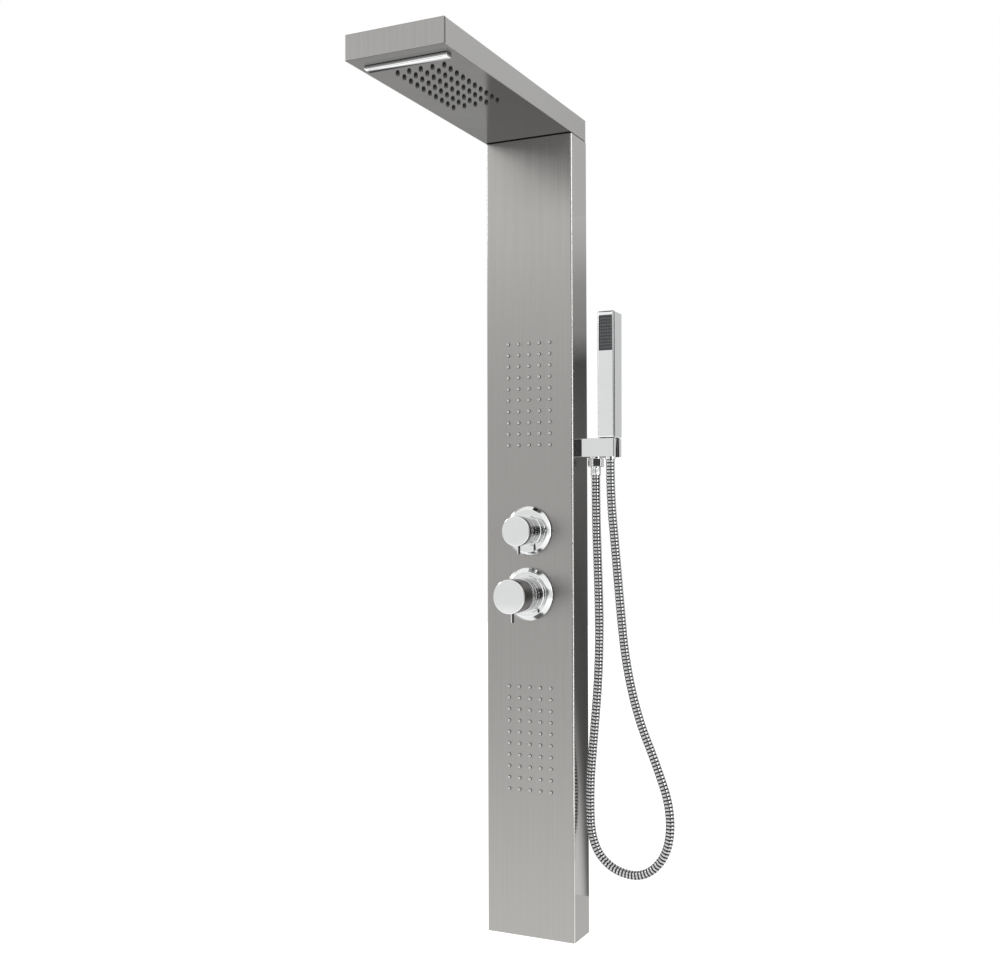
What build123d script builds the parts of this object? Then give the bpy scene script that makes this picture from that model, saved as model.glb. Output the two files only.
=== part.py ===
from build123d import *
import math
import os

# Rainfall shower column. Millimetres. +Z is up, +Y points into the wall and the front faces -Y.
# The wall is the plane Y = 0. The origin is the centre of the four wall screws, at mid height.

# ------------------------------------------------------------------ driving sizes
# Overall
PANEL_WIDTH = 150.0            # column and arm, side to side
PANEL_DEPTH = 60.0             # column, wall to front
TOTAL_HEIGHT = 1300.0          # foot of the column to the top of the arm
ARM_THICKNESS = 35.0
ARM_REACH = 480.0              # wall to the arm's front edge

# Sheet work
SHEET = 1.5
BEND_RADIUS = 3.0              # outside radius of the column's folds
ARM_BEND_RADIUS = 2.0
RETURN_FLANGE = 13.0           # the column's edges, folded in along the wall
CORNER_SEAM = 0.5              # groove where the arm's folded front meets each side
SEAM_GAP = 0.2                 # between a plate and the folded shell around it
CAP_FLANGE = 15.0
CAP_INSET = 1.0                # the bottom cap above the column's edge
DRAIN_RADIUS = 4.0
DRAIN_SPACING = 80.0
TOP_FRAME_THICKNESS = 3.0
GASKET_THICKNESS = 1.5
GASKET_INSET = 1.5
WINDOW_SIDE_MARGIN = 14.0      # solid border of the window between column and arm
WINDOW_END_MARGIN = 5.0
ARM_BOLT_RADIUS = 2.5
ARM_BOLT_INSET = 8.0           # bolt centres in from the side
ARM_BOLT_PITCH = 34.0
ARM_BOLT_HEAD = 3.5
ARM_BOLT_BEYOND = 8.0          # shank above the arm's underplate
UNDERPLATE_FLANGE = 10.0
STIFFENER_FLANGE = 6.0
STIFFENER_INSET = 9.5          # side of the arm's inside to the stiffener's web
M5_ACROSS_FLATS = 8.0
M5_NUT_THICKNESS = 4.0
THREAD_CLEARANCE = 0.05

# Wall fixing
WALL_SCREWS_WIDE = 100.0
WALL_SCREWS_HIGH = 940.0
WALL_SCREW_HOLE_RADIUS = 3.0
WALL_BRACKET_THICKNESS = 3.0
WALL_BRACKET_HEIGHT = 60.0
HOOK_DEPTH = 6.0
HOOK_LIP = 9.0
HOOK_LIP_THICKNESS = 1.5
HANGER_HEIGHT = 26.0
HANGER_THICKNESS = 3.0
HANGER_GAP = 0.6               # hanger bar to the wall bracket
HANGER_HOLE_RADIUS = 4.0
HANGER_HOLE_HEIGHT = 18.0
HANGER_HOLE_SPACING = 60.0

# Spray groups: five by ten nozzles on one square pitch
NOZZLE_COLUMNS = 5
NOZZLE_ROWS = 10
NOZZLE_PITCH = 18.0
NOZZLE_RADIUS = 2.8
NOZZLE_HOLE_CLEARANCE = 0.15
NOZZLE_BORE_RADIUS = 0.6
NOZZLE_BORE_DEPTH = 1.2
NOZZLE_SHOULDER = 0.35         # share of a nozzle's height below its taper
JET_TIP_RADIUS = 1.7
RAIN_TIP_RADIUS = 1.8
SPRAY_MARGIN = 9.0             # outer nozzle to the edge of the mat
MAT_THICKNESS = 2.0
JET_STANDS_OUT = 2.2
RAIN_STANDS_OUT = 2.8
CHAMBER_DEPTH = 20.0
CHAMBER_WALL = 2.5
CHAMBER_RIB = 1.5
EAR_LENGTH = 12.0
EAR_THICKNESS = 4.0
STUD_RADIUS = 2.5
STUD_LENGTH = 12.0
STUD_SPACING = 60.0
UPPER_JETS_HEIGHT = 855.0      # heights are above the column's foot
LOWER_JETS_HEIGHT = 310.0
RAIN_CENTRE_REACH = 327.0      # wall to the middle of the rain nozzles

# Waterfall outlet
WATERFALL_MARGIN = 12.5        # side of the arm to the end of the lip
WATERFALL_REACH = 444.0        # wall to the middle of the lip
LIP_WIDTH = 15.0
LIP_DROP = 5.0
WATERFALL_SLOT = 3.0
WATERFALL_NECK = 8.0
WATERFALL_NECK_INSET = 4.0     # end of the lip to the end of its neck
WATERFALL_NECK_RISE = 3.0
WATERFALL_WALL = 2.0
WATERFALL_BOX_HALF = 11.0
WATERFALL_BOX_HEIGHT = 24.0

# Valves
MIXER_HEIGHT = 538.0
DIVERTER_HEIGHT = 638.0
VALVE_BODY_RADIUS = 24.0
VALVE_NECK_RADIUS = 18.0
VALVE_NECK_LENGTH = 9.0
VALVE_BORE_RADIUS = 15.0
BORE_FLOOR = 6.0
MIXER_BODY_DEPTH = 36.0
DIVERTER_BODY_DEPTH = 46.0
FRONT_TIER_DEPTH = 14.0        # plate to the axis of the castings' front arms
SPINDLE_RADIUS = 5.0
SPINDLE_FLANGE_RADIUS = 9.0
SPINDLE_IN_HUB = 16.0
HUB_RADIUS = 10.0
KNOB_WALL = 5.0
PORT_RADIUS = 2.2
PORT_OFFSET = 6.0
CARTRIDGE_WALL = 3.0
CARTRIDGE_GAP = 0.1
RUNNING_GAP = 0.05
DISC_THICKNESS = 3.0
LEVER_RADIUS = 2.5
SET_SCREW_RADIUS = 2.0
SET_SCREW_LENGTH = 4.75
LOCK_NUT_ACROSS_FLATS = 44.0
LOCK_NUT_THICKNESS = 5.0
GLAND_THICKNESS = 3.0
ESCUTCHEON_SEAL = 0.8
KNOB_GAP = 0.6                 # collar to the back of the knob

# Water pipes inside the column
HOSE_RADIUS = 6.0
HOSE_WALL = 2.2
TAIL_LENGTH = 12.0
FERRULE_WALL = 1.4
FERRULE_LENGTH = 14.0
FERRULE_GAP = 0.2
RISER_CLEARANCE = 0.9          # ferrule to the spray chamber beside it
REAR_RISER = 38.0
DROPPER_X = 27.0
LOWER_SPIGOT_X = 12.0
LINK_PIPE_RADIUS = 7.5
LINK_PIPE_WALL = 1.0
LINK_BOSS_WALL = 3.0
LINK_BOSS_LENGTH = 8.0
LINK_NUT_ACROSS_FLATS = 24.0
LINK_NUT_THICKNESS = 9.0
CASTING_ARM_RADIUS = 9.0
CASTING_WALL = 1.5             # brass round a hose tail, where an arm ends in it
INLET_BESIDE_FLANGE = 12.0     # return flange to the inlet's axis
INLET_BOSS_RADIUS = 14.0
INLET_SOCKET_DEPTH = 8.0
INLET_THREAD_RADIUS = 10.45
INLET_THREAD_LENGTH = 14.0
INLET_SHORT_OF_WALL = 2.0
INLET_BORE_RADIUS = 6.5
NIPPLE_ACROSS_FLATS = 27.0
NIPPLE_HEXAGON = 7.0           # length of the nipple's hexagon

# Hand shower, its holder and the water outlet beside it
HOLDER_HEIGHT = 768.5          # middle of the holder
HOLDER_LENGTH = 60.0
HOLDER_FRONT = 40.0            # wall to the holder's front
HOLDER_DEPTH = 36.0
HOLDER_THICKNESS = 29.0
HOLDER_SCREW_RADIUS = 1.5
HOLDER_SCREW_HEAD = 2.6
HOLDER_SCREW_HEAD_THICKNESS = 1.6
HOLDER_SCREW_LENGTH = 8.0      # thread inside the holder
HOLDER_SCREW_OFFSET = 11.0
OUTLET_OFFSET = 23.5           # column side to the outlet's axis
SOCKET_OFFSET = 48.0           # column side to the hand shower's axis
SOCKET_RADIUS = 10.6
HOSE_SLOT = 15.0
OUTLET_PIPE_RADIUS = 8.0
OUTLET_TAIL = 22.0             # inner elbow's axis to the end of its hose tail
OUTLET_BORE_RADIUS = 4.5
OUTLET_THREAD_LENGTH = 9.0
HAND_SHOWER_WIDTH = 28.0
HAND_SHOWER_LENGTH = 199.0
HAND_SHOWER_FRONT = 41.0
HAND_SHOWER_FOOT_DEPTH = 35.0
HAND_SHOWER_HEAD_DEPTH = 37.5
HAND_SHOWER_WALL = 2.0
FACE_WIDTH = 22.5
FACE_HEIGHT = 55.5
FACE_BELOW_TOP = 6.8
FACE_RECESS = 3.0
FACE_THICKNESS = 2.0
FACE_GAP = 0.2
LEDGE_THICKNESS = 1.5
LEDGE_OVERLAP = 1.5
HAND_NOZZLE_COLUMNS = 5
HAND_NOZZLE_ROWS = 10
HAND_NOZZLE_PITCH_WIDE = 4.0
HAND_NOZZLE_PITCH_HIGH = 5.0
HAND_NOZZLE_RADIUS = 1.2
HAND_NOZZLE_GAP = 0.15
HAND_INLET_LENGTH = 12.0
SEAT_GAP = 0.3                 # foot of the hand shower above the holder

# Shower hose
SHOWER_HOSE_RADIUS = 7.0
HOSE_NUT_RADIUS = 11.0
HOSE_NUT_LENGTH = 13.0
HOSE_NUT_GAP = 2.0             # holder to the nut
HOSE_SLEEVE_RADIUS = 8.0
HOSE_SLEEVE_LENGTH = 14.0
CONE_NUT_TOP_RADIUS = 10.2
CONE_NUT_FOOT_RADIUS = 8.2
CONE_NUT_BELOW_HOLDER = 4.0
CONE_THREAD_RADIUS = 8.45
CONE_THREAD_LENGTH = 11.0

# ------------------------------------------------------------------ worked-out places
HALF_WIDTH = PANEL_WIDTH / 2
INNER_HALF = HALF_WIDTH - SHEET
FRONT = -PANEL_DEPTH
INNER_FRONT = FRONT + SHEET
ARM_FRONT = -ARM_REACH
FOOT = -TOTAL_HEIGHT / 2
TOP = TOTAL_HEIGHT / 2
ARM_UNDERSIDE = TOP - ARM_THICKNESS
COLUMN_TOP = ARM_UNDERSIDE - GASKET_THICKNESS
GRID_HALF_WIDE = (NOZZLE_COLUMNS - 1) * NOZZLE_PITCH / 2
GRID_HALF_HIGH = (NOZZLE_ROWS - 1) * NOZZLE_PITCH / 2
MAT_HALF_WIDE = GRID_HALF_WIDE + SPRAY_MARGIN
MAT_HALF_HIGH = GRID_HALF_HIGH + SPRAY_MARGIN
MIXER_Z = FOOT + MIXER_HEIGHT
DIVERTER_Z = FOOT + DIVERTER_HEIGHT
MIXER_BACK = INNER_FRONT + MIXER_BODY_DEPTH
DIVERTER_BACK = INNER_FRONT + DIVERTER_BODY_DEPTH
FRONT_TIER = INNER_FRONT + FRONT_TIER_DEPTH
REAR_TIER = DIVERTER_BACK - CASTING_ARM_RADIUS
SIDE_RISER = MAT_HALF_WIDE + RISER_CLEARANCE + HOSE_RADIUS + FERRULE_WALL
INLET_X = HALF_WIDTH - RETURN_FLANGE - INLET_BESIDE_FLANGE
HOLDER_Z = FOOT + HOLDER_HEIGHT
HOLDER_TOP = HOLDER_Z + HOLDER_THICKNESS / 2
HOLDER_FOOT = HOLDER_Z - HOLDER_THICKNESS / 2
HOLDER_Y = -HOLDER_FRONT + HOLDER_DEPTH / 2
OUTLET_X = HALF_WIDTH + OUTLET_OFFSET
SOCKET_X = HALF_WIDTH + SOCKET_OFFSET
HAND_FOOT = HOLDER_TOP + SEAT_GAP
HAND_TOP = HAND_FOOT + HAND_SHOWER_LENGTH
HAND_FRONT = -HAND_SHOWER_FRONT
NUT_FOOT = HOLDER_FOOT - HOSE_NUT_GAP - HOSE_NUT_LENGTH
SLEEVE_FOOT = NUT_FOOT - HOSE_SLEEVE_LENGTH
CONE_NUT_FOOT = HOLDER_FOOT - CONE_NUT_BELOW_HOLDER
RAIN_PIPE_Z = ARM_UNDERSIDE + SHEET + MAT_THICKNESS + CHAMBER_DEPTH / 2
ARM_PIPE_Z = RAIN_PIPE_Z + 3.0
STIFFENER_WEB = INNER_HALF - STIFFENER_INSET

MIXER = {
    "name": "mixer",
    "z": MIXER_Z,
    "body_back": MIXER_BACK,
    "escutcheon_radius": 42.0,
    "escutcheon_depth": 12.0,
    "escutcheon_bevel": 6.5,
    "collar_radius": 26.0,
    "collar_front": 31.0,
    "knob_radius": 26.5,
    "knob_front": 77.0,
    "lever_behind_face": 13.5,
    "lever_stands_out": 14.0,
}
DIVERTER = {
    "name": "diverter",
    "z": DIVERTER_Z,
    "body_back": DIVERTER_BACK,
    "escutcheon_radius": 39.0,
    "escutcheon_depth": 10.0,
    "escutcheon_bevel": 5.0,
    "collar_radius": 20.5,
    "collar_front": 32.0,
    "knob_radius": 23.5,
    "knob_front": 52.0,
    "lever_behind_face": 12.0,
    "lever_stands_out": 12.0,
}

# Route of the shower hose, from the outlet's sleeve to the hand shower's nut
SHOWER_HOSE_ROUTE = [
    (OUTLET_X, HOLDER_Y, SLEEVE_FOOT),
    (OUTLET_X, HOLDER_Y, 15.0),
    (102.0, -23.5, -75.0),
    (105.0, -25.0, -165.0),
    (102.5, -26.0, -250.0),
    (95.0, -27.0, -335.0),
    (88.0, -28.0, -418.0),
    (91.0, -29.0, -500.0),
    (124.0, -30.0, -538.0),
    (178.0, -31.0, -545.0),
    (217.0, -30.0, -505.0),
    (222.0, -29.0, -438.0),
    (198.0, -28.0, -370.0),
    (168.0, -27.0, -300.0),
    (148.0, -26.0, -215.0),
    (139.0, -25.0, -125.0),
    (131.0, -24.0, -35.0),
    (SOCKET_X, HOLDER_Y, 45.0),
    (SOCKET_X, HOLDER_Y, CONE_NUT_FOOT),
]


# ------------------------------------------------------------------ helpers
def block(x0, x1, y0, y1, z0, z1):
    """A box between two corners."""
    centre = Pos((x0 + x1) / 2, (y0 + y1) / 2, (z0 + z1) / 2)
    return centre * Box(abs(x1 - x0), abs(y1 - y0), abs(z1 - z0))


def rod(axis, radius, a, b, start, end):
    """A cylinder along one axis, at a and b on the other two axes, from start to end."""
    middle = (start + end) / 2
    length = abs(end - start)
    if axis == "x":
        return Pos(middle, a, b) * Rot(0, 90, 0) * Cylinder(radius, length)
    if axis == "y":
        return Pos(a, middle, b) * Rot(90, 0, 0) * Cylinder(radius, length)
    return Pos(a, b, middle) * Cylinder(radius, length)


def ring(axis, outer, inner, a, b, start, end):
    """A plain tube along one axis."""
    return rod(axis, outer, a, b, start, end) - rod(axis, inner, a, b, start - 1, end + 1)


def hexagon(axis, across_flats, a, b, start, end):
    """A six-sided bar along the Y or Z axis."""
    middle = (start + end) / 2
    bar = extrude(RegularPolygon(across_flats / 2, 6, major_radius=False), abs(end - start) / 2, both=True)
    if axis == "y":
        return Pos(a, middle, b) * Rot(90, 0, 0) * bar
    return Pos(a, b, middle) * bar


def turned(points, z):
    """A turned piece from its half outline of (radius, distance in front of the column)."""
    outline = Polyline([(radius, -distance) for radius, distance in points], close=True)
    return Pos(0, FRONT, z) * revolve(make_face(outline), Axis.Y)


def corner_radii(points, share=0.45):
    """The largest bend that each corner's two runs allow."""
    radii = []
    for before, corner, after in zip(points, points[1:], points[2:]):
        run_in = Vector(*corner) - Vector(*before)
        run_out = Vector(*after) - Vector(*corner)
        turn = math.radians(run_in.get_angle(run_out))
        shorter = min(run_in.length, run_out.length)
        radii.append(share * shorter / math.tan(turn / 2))
    return radii


def pipe(points, radii, radius):
    """A round pipe along straight runs joined by tangent arcs."""
    path = FilletPolyline(*points, radius=radii)
    start = Plane(origin=path @ 0, z_dir=path % 0)
    return sweep(start * Circle(radius), path=path)


PARTS = {}


def keep(name, *pieces):
    """Remember a finished piece under its name; like pieces share a name as a group."""
    PARTS.setdefault(name, []).extend(pieces)


# ------------------------------------------------------------------ spray groups
# Each group is drawn with its plate's inner face at z = 0 and its nozzles pointing along +z.
def nozzle_spots():
    for column in range(NOZZLE_COLUMNS):
        for row in range(NOZZLE_ROWS):
            yield column * NOZZLE_PITCH - GRID_HALF_WIDE, row * NOZZLE_PITCH - GRID_HALF_HIGH


def spray_mat(stands_out, tip_radius):
    """Silicone mat with its fifty nozzles."""
    mat = block(-MAT_HALF_WIDE, MAT_HALF_WIDE, -MAT_HALF_HIGH, MAT_HALF_HIGH, -MAT_THICKNESS, 0)
    shoulder = SHEET + stands_out * NOZZLE_SHOULDER
    tip = SHEET + stands_out
    outline = Polyline(
        [(0, -MAT_THICKNESS / 2), (NOZZLE_RADIUS, -MAT_THICKNESS / 2), (NOZZLE_RADIUS, shoulder),
         (tip_radius, tip), (NOZZLE_BORE_RADIUS, tip), (NOZZLE_BORE_RADIUS, tip - NOZZLE_BORE_DEPTH),
         (0, tip - NOZZLE_BORE_DEPTH)],
        close=True,
    )
    nozzle = revolve(make_face(Plane.XZ * outline), Axis.Z)
    return mat + [Pos(x, y, 0) * nozzle for x, y in nozzle_spots()]


def stud_spots():
    for x in (-STUD_SPACING / 2, STUD_SPACING / 2):
        for y in (-1, 1):
            yield x, y * (MAT_HALF_HIGH + EAR_LENGTH / 2)


def spray_chamber(spigot_x, spigot_side):
    """Water chamber that presses the mat against the plate; its spigot leaves one end."""
    half_wide = MAT_HALF_WIDE
    half_high = MAT_HALF_HIGH
    back = -MAT_THICKNESS - CHAMBER_DEPTH
    chamber = block(-half_wide, half_wide, -half_high, half_high, back, -MAT_THICKNESS)
    chamber = fillet(chamber.edges().filter_by(Axis.Z), 2.0)
    chamber -= block(
        -half_wide + CHAMBER_WALL, half_wide - CHAMBER_WALL,
        -half_high + CHAMBER_WALL, half_high - CHAMBER_WALL,
        back + CHAMBER_WALL, -MAT_THICKNESS + 1,
    )
    ear_front = -MAT_THICKNESS
    ear_half = EAR_LENGTH / 2 - 1
    for x, y in stud_spots():
        inward = y - math.copysign(EAR_LENGTH / 2 + 1, y)
        outward = y + math.copysign(ear_half, y)
        low, high = sorted((inward, outward))
        chamber += block(x - ear_half, x + ear_half, low, high, ear_front - EAR_THICKNESS, ear_front)
        chamber -= rod("z", STUD_RADIUS + 0.1, x, y, ear_front - EAR_THICKNESS - 1, ear_front + 1)
    for rib in (-2, -1, 0, 1, 2):
        rib_y = rib * MAT_HALF_HIGH / 3
        rib_half = half_wide - 6
        chamber += block(-rib_half, rib_half, rib_y - 1, rib_y + 1, back - CHAMBER_RIB, back + 0.5)
    middle = back + CHAMBER_DEPTH / 2
    end = spigot_side * half_high
    tip = end + spigot_side * TAIL_LENGTH
    low, high = sorted((end - spigot_side * CHAMBER_WALL, tip))
    chamber += rod("y", HOSE_RADIUS, spigot_x, middle, low, high)
    chamber -= rod("y", HOSE_RADIUS - HOSE_WALL, spigot_x, middle, low - 2, high - 0.01)
    return chamber


def chamber_studs():
    """Four studs welded to the plate's inner face."""
    return [rod("z", STUD_RADIUS, x, y, -STUD_LENGTH, 0) for x, y in stud_spots()]


def chamber_nuts():
    """Four nuts that pull the chamber against its mat."""
    seat = -MAT_THICKNESS - EAR_THICKNESS
    foot = seat - M5_NUT_THICKNESS
    return [
        hexagon("z", M5_ACROSS_FLATS, x, y, foot, seat)
        - rod("z", STUD_RADIUS + THREAD_CLEARANCE, x, y, foot - 1, seat + 1)
        for x, y in stud_spots()
    ]


def spray_places():
    """Name, place, how far the nozzles stand out, tip radius, spigot offset and spigot side."""
    upright = Rot(90, 0, 0)
    facing_down = Rot(180, 0, 0)
    upper = Pos(0, INNER_FRONT, FOOT + UPPER_JETS_HEIGHT) * upright
    lower = Pos(0, INNER_FRONT, FOOT + LOWER_JETS_HEIGHT) * upright
    overhead = Pos(0, -RAIN_CENTRE_REACH, ARM_UNDERSIDE + SHEET) * facing_down
    return [
        ("body_jet", upper, JET_STANDS_OUT, JET_TIP_RADIUS, 0.0, -1),
        ("body_jet", lower, JET_STANDS_OUT, JET_TIP_RADIUS, LOWER_SPIGOT_X, 1),
        ("rain", overhead, RAIN_STANDS_OUT, RAIN_TIP_RADIUS, 0.0, -1),
    ]


def nozzle_holes(place):
    """Drills for one plate's nozzle holes."""
    radius = NOZZLE_RADIUS + NOZZLE_HOLE_CLEARANCE
    return [place * Pos(x, y, 0) * Cylinder(radius, 4 * SHEET) for x, y in nozzle_spots()]


def make_spray_groups():
    for name, place, stands_out, tip_radius, spigot_x, spigot_side in spray_places():
        keep(name + "_nozzle_mats", place * spray_mat(stands_out, tip_radius))
        keep(name + "_chambers", place * spray_chamber(spigot_x, spigot_side))
        keep("chamber_studs", *[place * stud for stud in chamber_studs()])
        keep("m5_nuts", *[place * nut for nut in chamber_nuts()])


# ------------------------------------------------------------------ column and arm sheet work
def column_shell():
    """Folded steel column: front, two sides and two narrow return flanges on the wall."""
    outer = block(-HALF_WIDTH, HALF_WIDTH, FRONT, 0, FOOT, COLUMN_TOP)
    outer = fillet(outer.edges().filter_by(Axis.Z).group_by(Axis.Y)[0], BEND_RADIUS)
    inner = block(-INNER_HALF, INNER_HALF, INNER_FRONT, -SHEET, FOOT - 1, COLUMN_TOP + 1)
    inner = fillet(inner.edges().filter_by(Axis.Z).group_by(Axis.Y)[0], BEND_RADIUS - SHEET)
    window = HALF_WIDTH - RETURN_FLANGE
    shell = outer - inner - block(-window, window, -SHEET - 1, 1, FOOT - 1, COLUMN_TOP + 1)
    drills = []
    for name, place, *_ in spray_places():
        if name != "rain":
            drills += nozzle_holes(place)
    for z in (MIXER_Z, DIVERTER_Z):
        drills.append(rod("y", VALVE_NECK_RADIUS + 0.3, 0, z, FRONT - 1, INNER_FRONT + 1))
    drills.append(rod("x", OUTLET_PIPE_RADIUS + 0.3, HOLDER_Y, HOLDER_Z, INNER_HALF - 1, HALF_WIDTH + 1))
    for z in holder_screw_heights():
        drills.append(rod("x", HOLDER_SCREW_RADIUS + 0.2, HOLDER_Y, z, INNER_HALF - 1, HALF_WIDTH + 1))
    return shell - drills


def bottom_cap():
    """Folded plate that closes the column's foot, with two drain holes."""
    half = INNER_HALF - SEAM_GAP
    front = INNER_FRONT + SEAM_GAP
    back = -SHEET - SEAM_GAP
    low = FOOT + CAP_INSET
    high = low + SHEET + CAP_FLANGE
    cap = block(-half, half, front, back, low, high)
    cap = fillet(cap.edges().filter_by(Axis.Z).group_by(Axis.Y)[0], BEND_RADIUS)
    cap -= block(-half + SHEET, half - SHEET, front - 1, back + 1, low + SHEET, high + 1)
    drains = (-DRAIN_SPACING / 2, DRAIN_SPACING / 2)
    return cap - [rod("z", DRAIN_RADIUS, x, FRONT / 2, low - 1, low + SHEET + 1) for x in drains]


def hose_window(z0, z1):
    """The opening through which the hoses climb from the column into the arm."""
    return block(
        -HALF_WIDTH + WINDOW_SIDE_MARGIN, HALF_WIDTH - WINDOW_SIDE_MARGIN,
        FRONT + WINDOW_END_MARGIN, -WINDOW_END_MARGIN, z0, z1,
    )


def arm_bolt_spots():
    for x in (-HALF_WIDTH + ARM_BOLT_INSET, HALF_WIDTH - ARM_BOLT_INSET):
        for y in (-ARM_BOLT_PITCH / 2, ARM_BOLT_PITCH / 2):
            yield x, FRONT / 2 + y


def bolt_drills(z0, z1):
    return [rod("z", ARM_BOLT_RADIUS + 0.2, x, y, z0, z1) for x, y in arm_bolt_spots()]


def column_top_frame():
    """Welded frame in the column's top end that the arm bolts down on."""
    half = INNER_HALF - SEAM_GAP
    low = COLUMN_TOP - TOP_FRAME_THICKNESS
    plate = block(-half, half, INNER_FRONT + SEAM_GAP, -SHEET - SEAM_GAP, low, COLUMN_TOP)
    plate = fillet(plate.edges().filter_by(Axis.Z).group_by(Axis.Y)[0], BEND_RADIUS)
    return plate - hose_window(low - 1, COLUMN_TOP + 1) - bolt_drills(low - 1, COLUMN_TOP + 1)


def arm_gasket():
    """Rubber frame between the column and the arm."""
    half = HALF_WIDTH - GASKET_INSET
    pad = block(-half, half, FRONT + GASKET_INSET, -GASKET_INSET, COLUMN_TOP, ARM_UNDERSIDE)
    low = COLUMN_TOP - 1
    high = ARM_UNDERSIDE + 1
    return pad - hose_window(low, high) - bolt_drills(low, high)


def arm_shell():
    """Folded steel box of the arm, open underneath."""
    outer = block(-HALF_WIDTH, HALF_WIDTH, ARM_FRONT, 0, ARM_UNDERSIDE, TOP)
    soft = outer.edges().filter_by(Axis.Z) + outer.edges().group_by(Axis.Z)[-1]
    outer = fillet(soft, ARM_BEND_RADIUS)
    inner = block(-INNER_HALF, INNER_HALF, ARM_FRONT + SHEET, -SHEET, ARM_UNDERSIDE - 1, TOP - SHEET)
    inner = fillet(inner.edges().filter_by(Axis.Z), ARM_BEND_RADIUS - SHEET)
    return outer - inner - corner_seams()


def corner_seams():
    """Shallow grooves down the arm's front corners, where the folded front meets the sides."""
    depth = SHEET / 2
    front = ARM_FRONT + ARM_BEND_RADIUS
    seams = []
    for side in (-1, 1):
        x0, x1 = sorted((side * (HALF_WIDTH - depth), side * (HALF_WIDTH + 1)))
        seams.append(block(x0, x1, front, front + CORNER_SEAM, ARM_UNDERSIDE - 1, TOP - ARM_BEND_RADIUS))
    return seams


def arm_underplate():
    """Underside of the arm: holes for the rain nozzles, waterfall slot and hose window."""
    half = INNER_HALF - SEAM_GAP
    front = ARM_FRONT + SHEET + SEAM_GAP
    back = -SHEET - SEAM_GAP
    top = ARM_UNDERSIDE + SHEET
    plate = block(-half, half, front, back, ARM_UNDERSIDE, top + UNDERPLATE_FLANGE)
    plate = fillet(plate.edges().filter_by(Axis.Z), ARM_BEND_RADIUS)
    plate -= block(-half + SHEET, half - SHEET, front - 1, back + 1, top, top + 2 * UNDERPLATE_FLANGE)
    neck_half = waterfall_neck_half()
    slot = block(
        -neck_half - SEAM_GAP, neck_half + SEAM_GAP,
        -WATERFALL_REACH - WATERFALL_NECK / 2 - SEAM_GAP, -WATERFALL_REACH + WATERFALL_NECK / 2 + SEAM_GAP,
        ARM_UNDERSIDE - 1, top + 1,
    )
    rain_place = spray_places()[2][1]
    plate = plate - slot - hose_window(ARM_UNDERSIDE - 1, top + 1) - bolt_drills(ARM_UNDERSIDE - 1, top + 1)
    return plate - nozzle_holes(rain_place)


def arm_stiffeners():
    """Two folded channels that tie the underplate to the arm's top."""
    low = ARM_UNDERSIDE + SHEET
    high = TOP - SHEET
    front = ARM_FRONT + 12
    back = FRONT - 4
    channels = []
    for side in (-1, 1):
        x0, x1 = sorted((side * STIFFENER_WEB, side * (STIFFENER_WEB + STIFFENER_FLANGE)))
        channel = block(x0, x1, front, back, low, high)
        x0, x1 = sorted((side * (STIFFENER_WEB + SHEET), side * (STIFFENER_WEB + STIFFENER_FLANGE + 1)))
        channels.append(channel - block(x0, x1, front - 1, back + 1, low + SHEET, high - SHEET))
    return channels


def arm_bolts():
    """Four hexagon bolts that hold the arm on the column."""
    bolts = []
    seat = COLUMN_TOP - TOP_FRAME_THICKNESS
    for x, y in arm_bolt_spots():
        shank = rod("z", ARM_BOLT_RADIUS, x, y, seat, ARM_UNDERSIDE + SHEET + ARM_BOLT_BEYOND)
        bolts.append(shank + hexagon("z", M5_ACROSS_FLATS, x, y, seat - ARM_BOLT_HEAD, seat))
    return bolts


def arm_bolt_nuts():
    seat = ARM_UNDERSIDE + SHEET
    top = seat + M5_NUT_THICKNESS
    return [
        hexagon("z", M5_ACROSS_FLATS, x, y, seat, top)
        - rod("z", ARM_BOLT_RADIUS + THREAD_CLEARANCE, x, y, seat - 1, top + 1)
        for x, y in arm_bolt_spots()
    ]


def make_sheet_work():
    keep("column_shell", column_shell())
    keep("bottom_cap", bottom_cap())
    keep("column_top_frame", column_top_frame())
    keep("arm_gasket", arm_gasket())
    keep("arm_shell", arm_shell())
    keep("arm_underplate", arm_underplate())
    keep("arm_stiffeners", *arm_stiffeners())
    keep("arm_bolts", *arm_bolts())
    keep("m5_nuts", *arm_bolt_nuts())


# ------------------------------------------------------------------ wall fixing
def wall_bracket(middle):
    """Steel plate screwed to the wall, with a lip that the column hooks over."""
    half = HALF_WIDTH - RETURN_FLANGE - 3.0
    low = middle - WALL_BRACKET_HEIGHT / 2
    high = middle + WALL_BRACKET_HEIGHT / 2
    plate = block(-half, half, -WALL_BRACKET_THICKNESS, 0, low, high)
    lip_front = -WALL_BRACKET_THICKNESS - HOOK_DEPTH
    lip_back = lip_front + HOOK_LIP_THICKNESS
    ledge = high - WALL_BRACKET_THICKNESS
    plate += block(-half, half, lip_front, 0, ledge, high)
    plate += block(-half, half, lip_front, lip_back, ledge, high + HOOK_LIP)
    for x in (-WALL_SCREWS_WIDE / 2, WALL_SCREWS_WIDE / 2):
        plate -= rod("y", WALL_SCREW_HOLE_RADIUS, x, middle, -WALL_BRACKET_THICKNESS - 1, 1)
    return plate


def hanger_bar(middle):
    """Bar welded across the column; it rests on the wall bracket's lip."""
    seat = middle + WALL_BRACKET_HEIGHT / 2
    half = INNER_HALF - 0.1
    back = -WALL_BRACKET_THICKNESS - HANGER_GAP
    front = back - HANGER_THICKNESS
    bar = block(-half, half, front, back, seat, seat + HANGER_HEIGHT)
    hole_z = seat + HANGER_HOLE_HEIGHT
    for x in (-HANGER_HOLE_SPACING / 2, HANGER_HOLE_SPACING / 2):
        bar -= rod("y", HANGER_HOLE_RADIUS, x, hole_z, front - 1, back + 1)
    return bar


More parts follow.
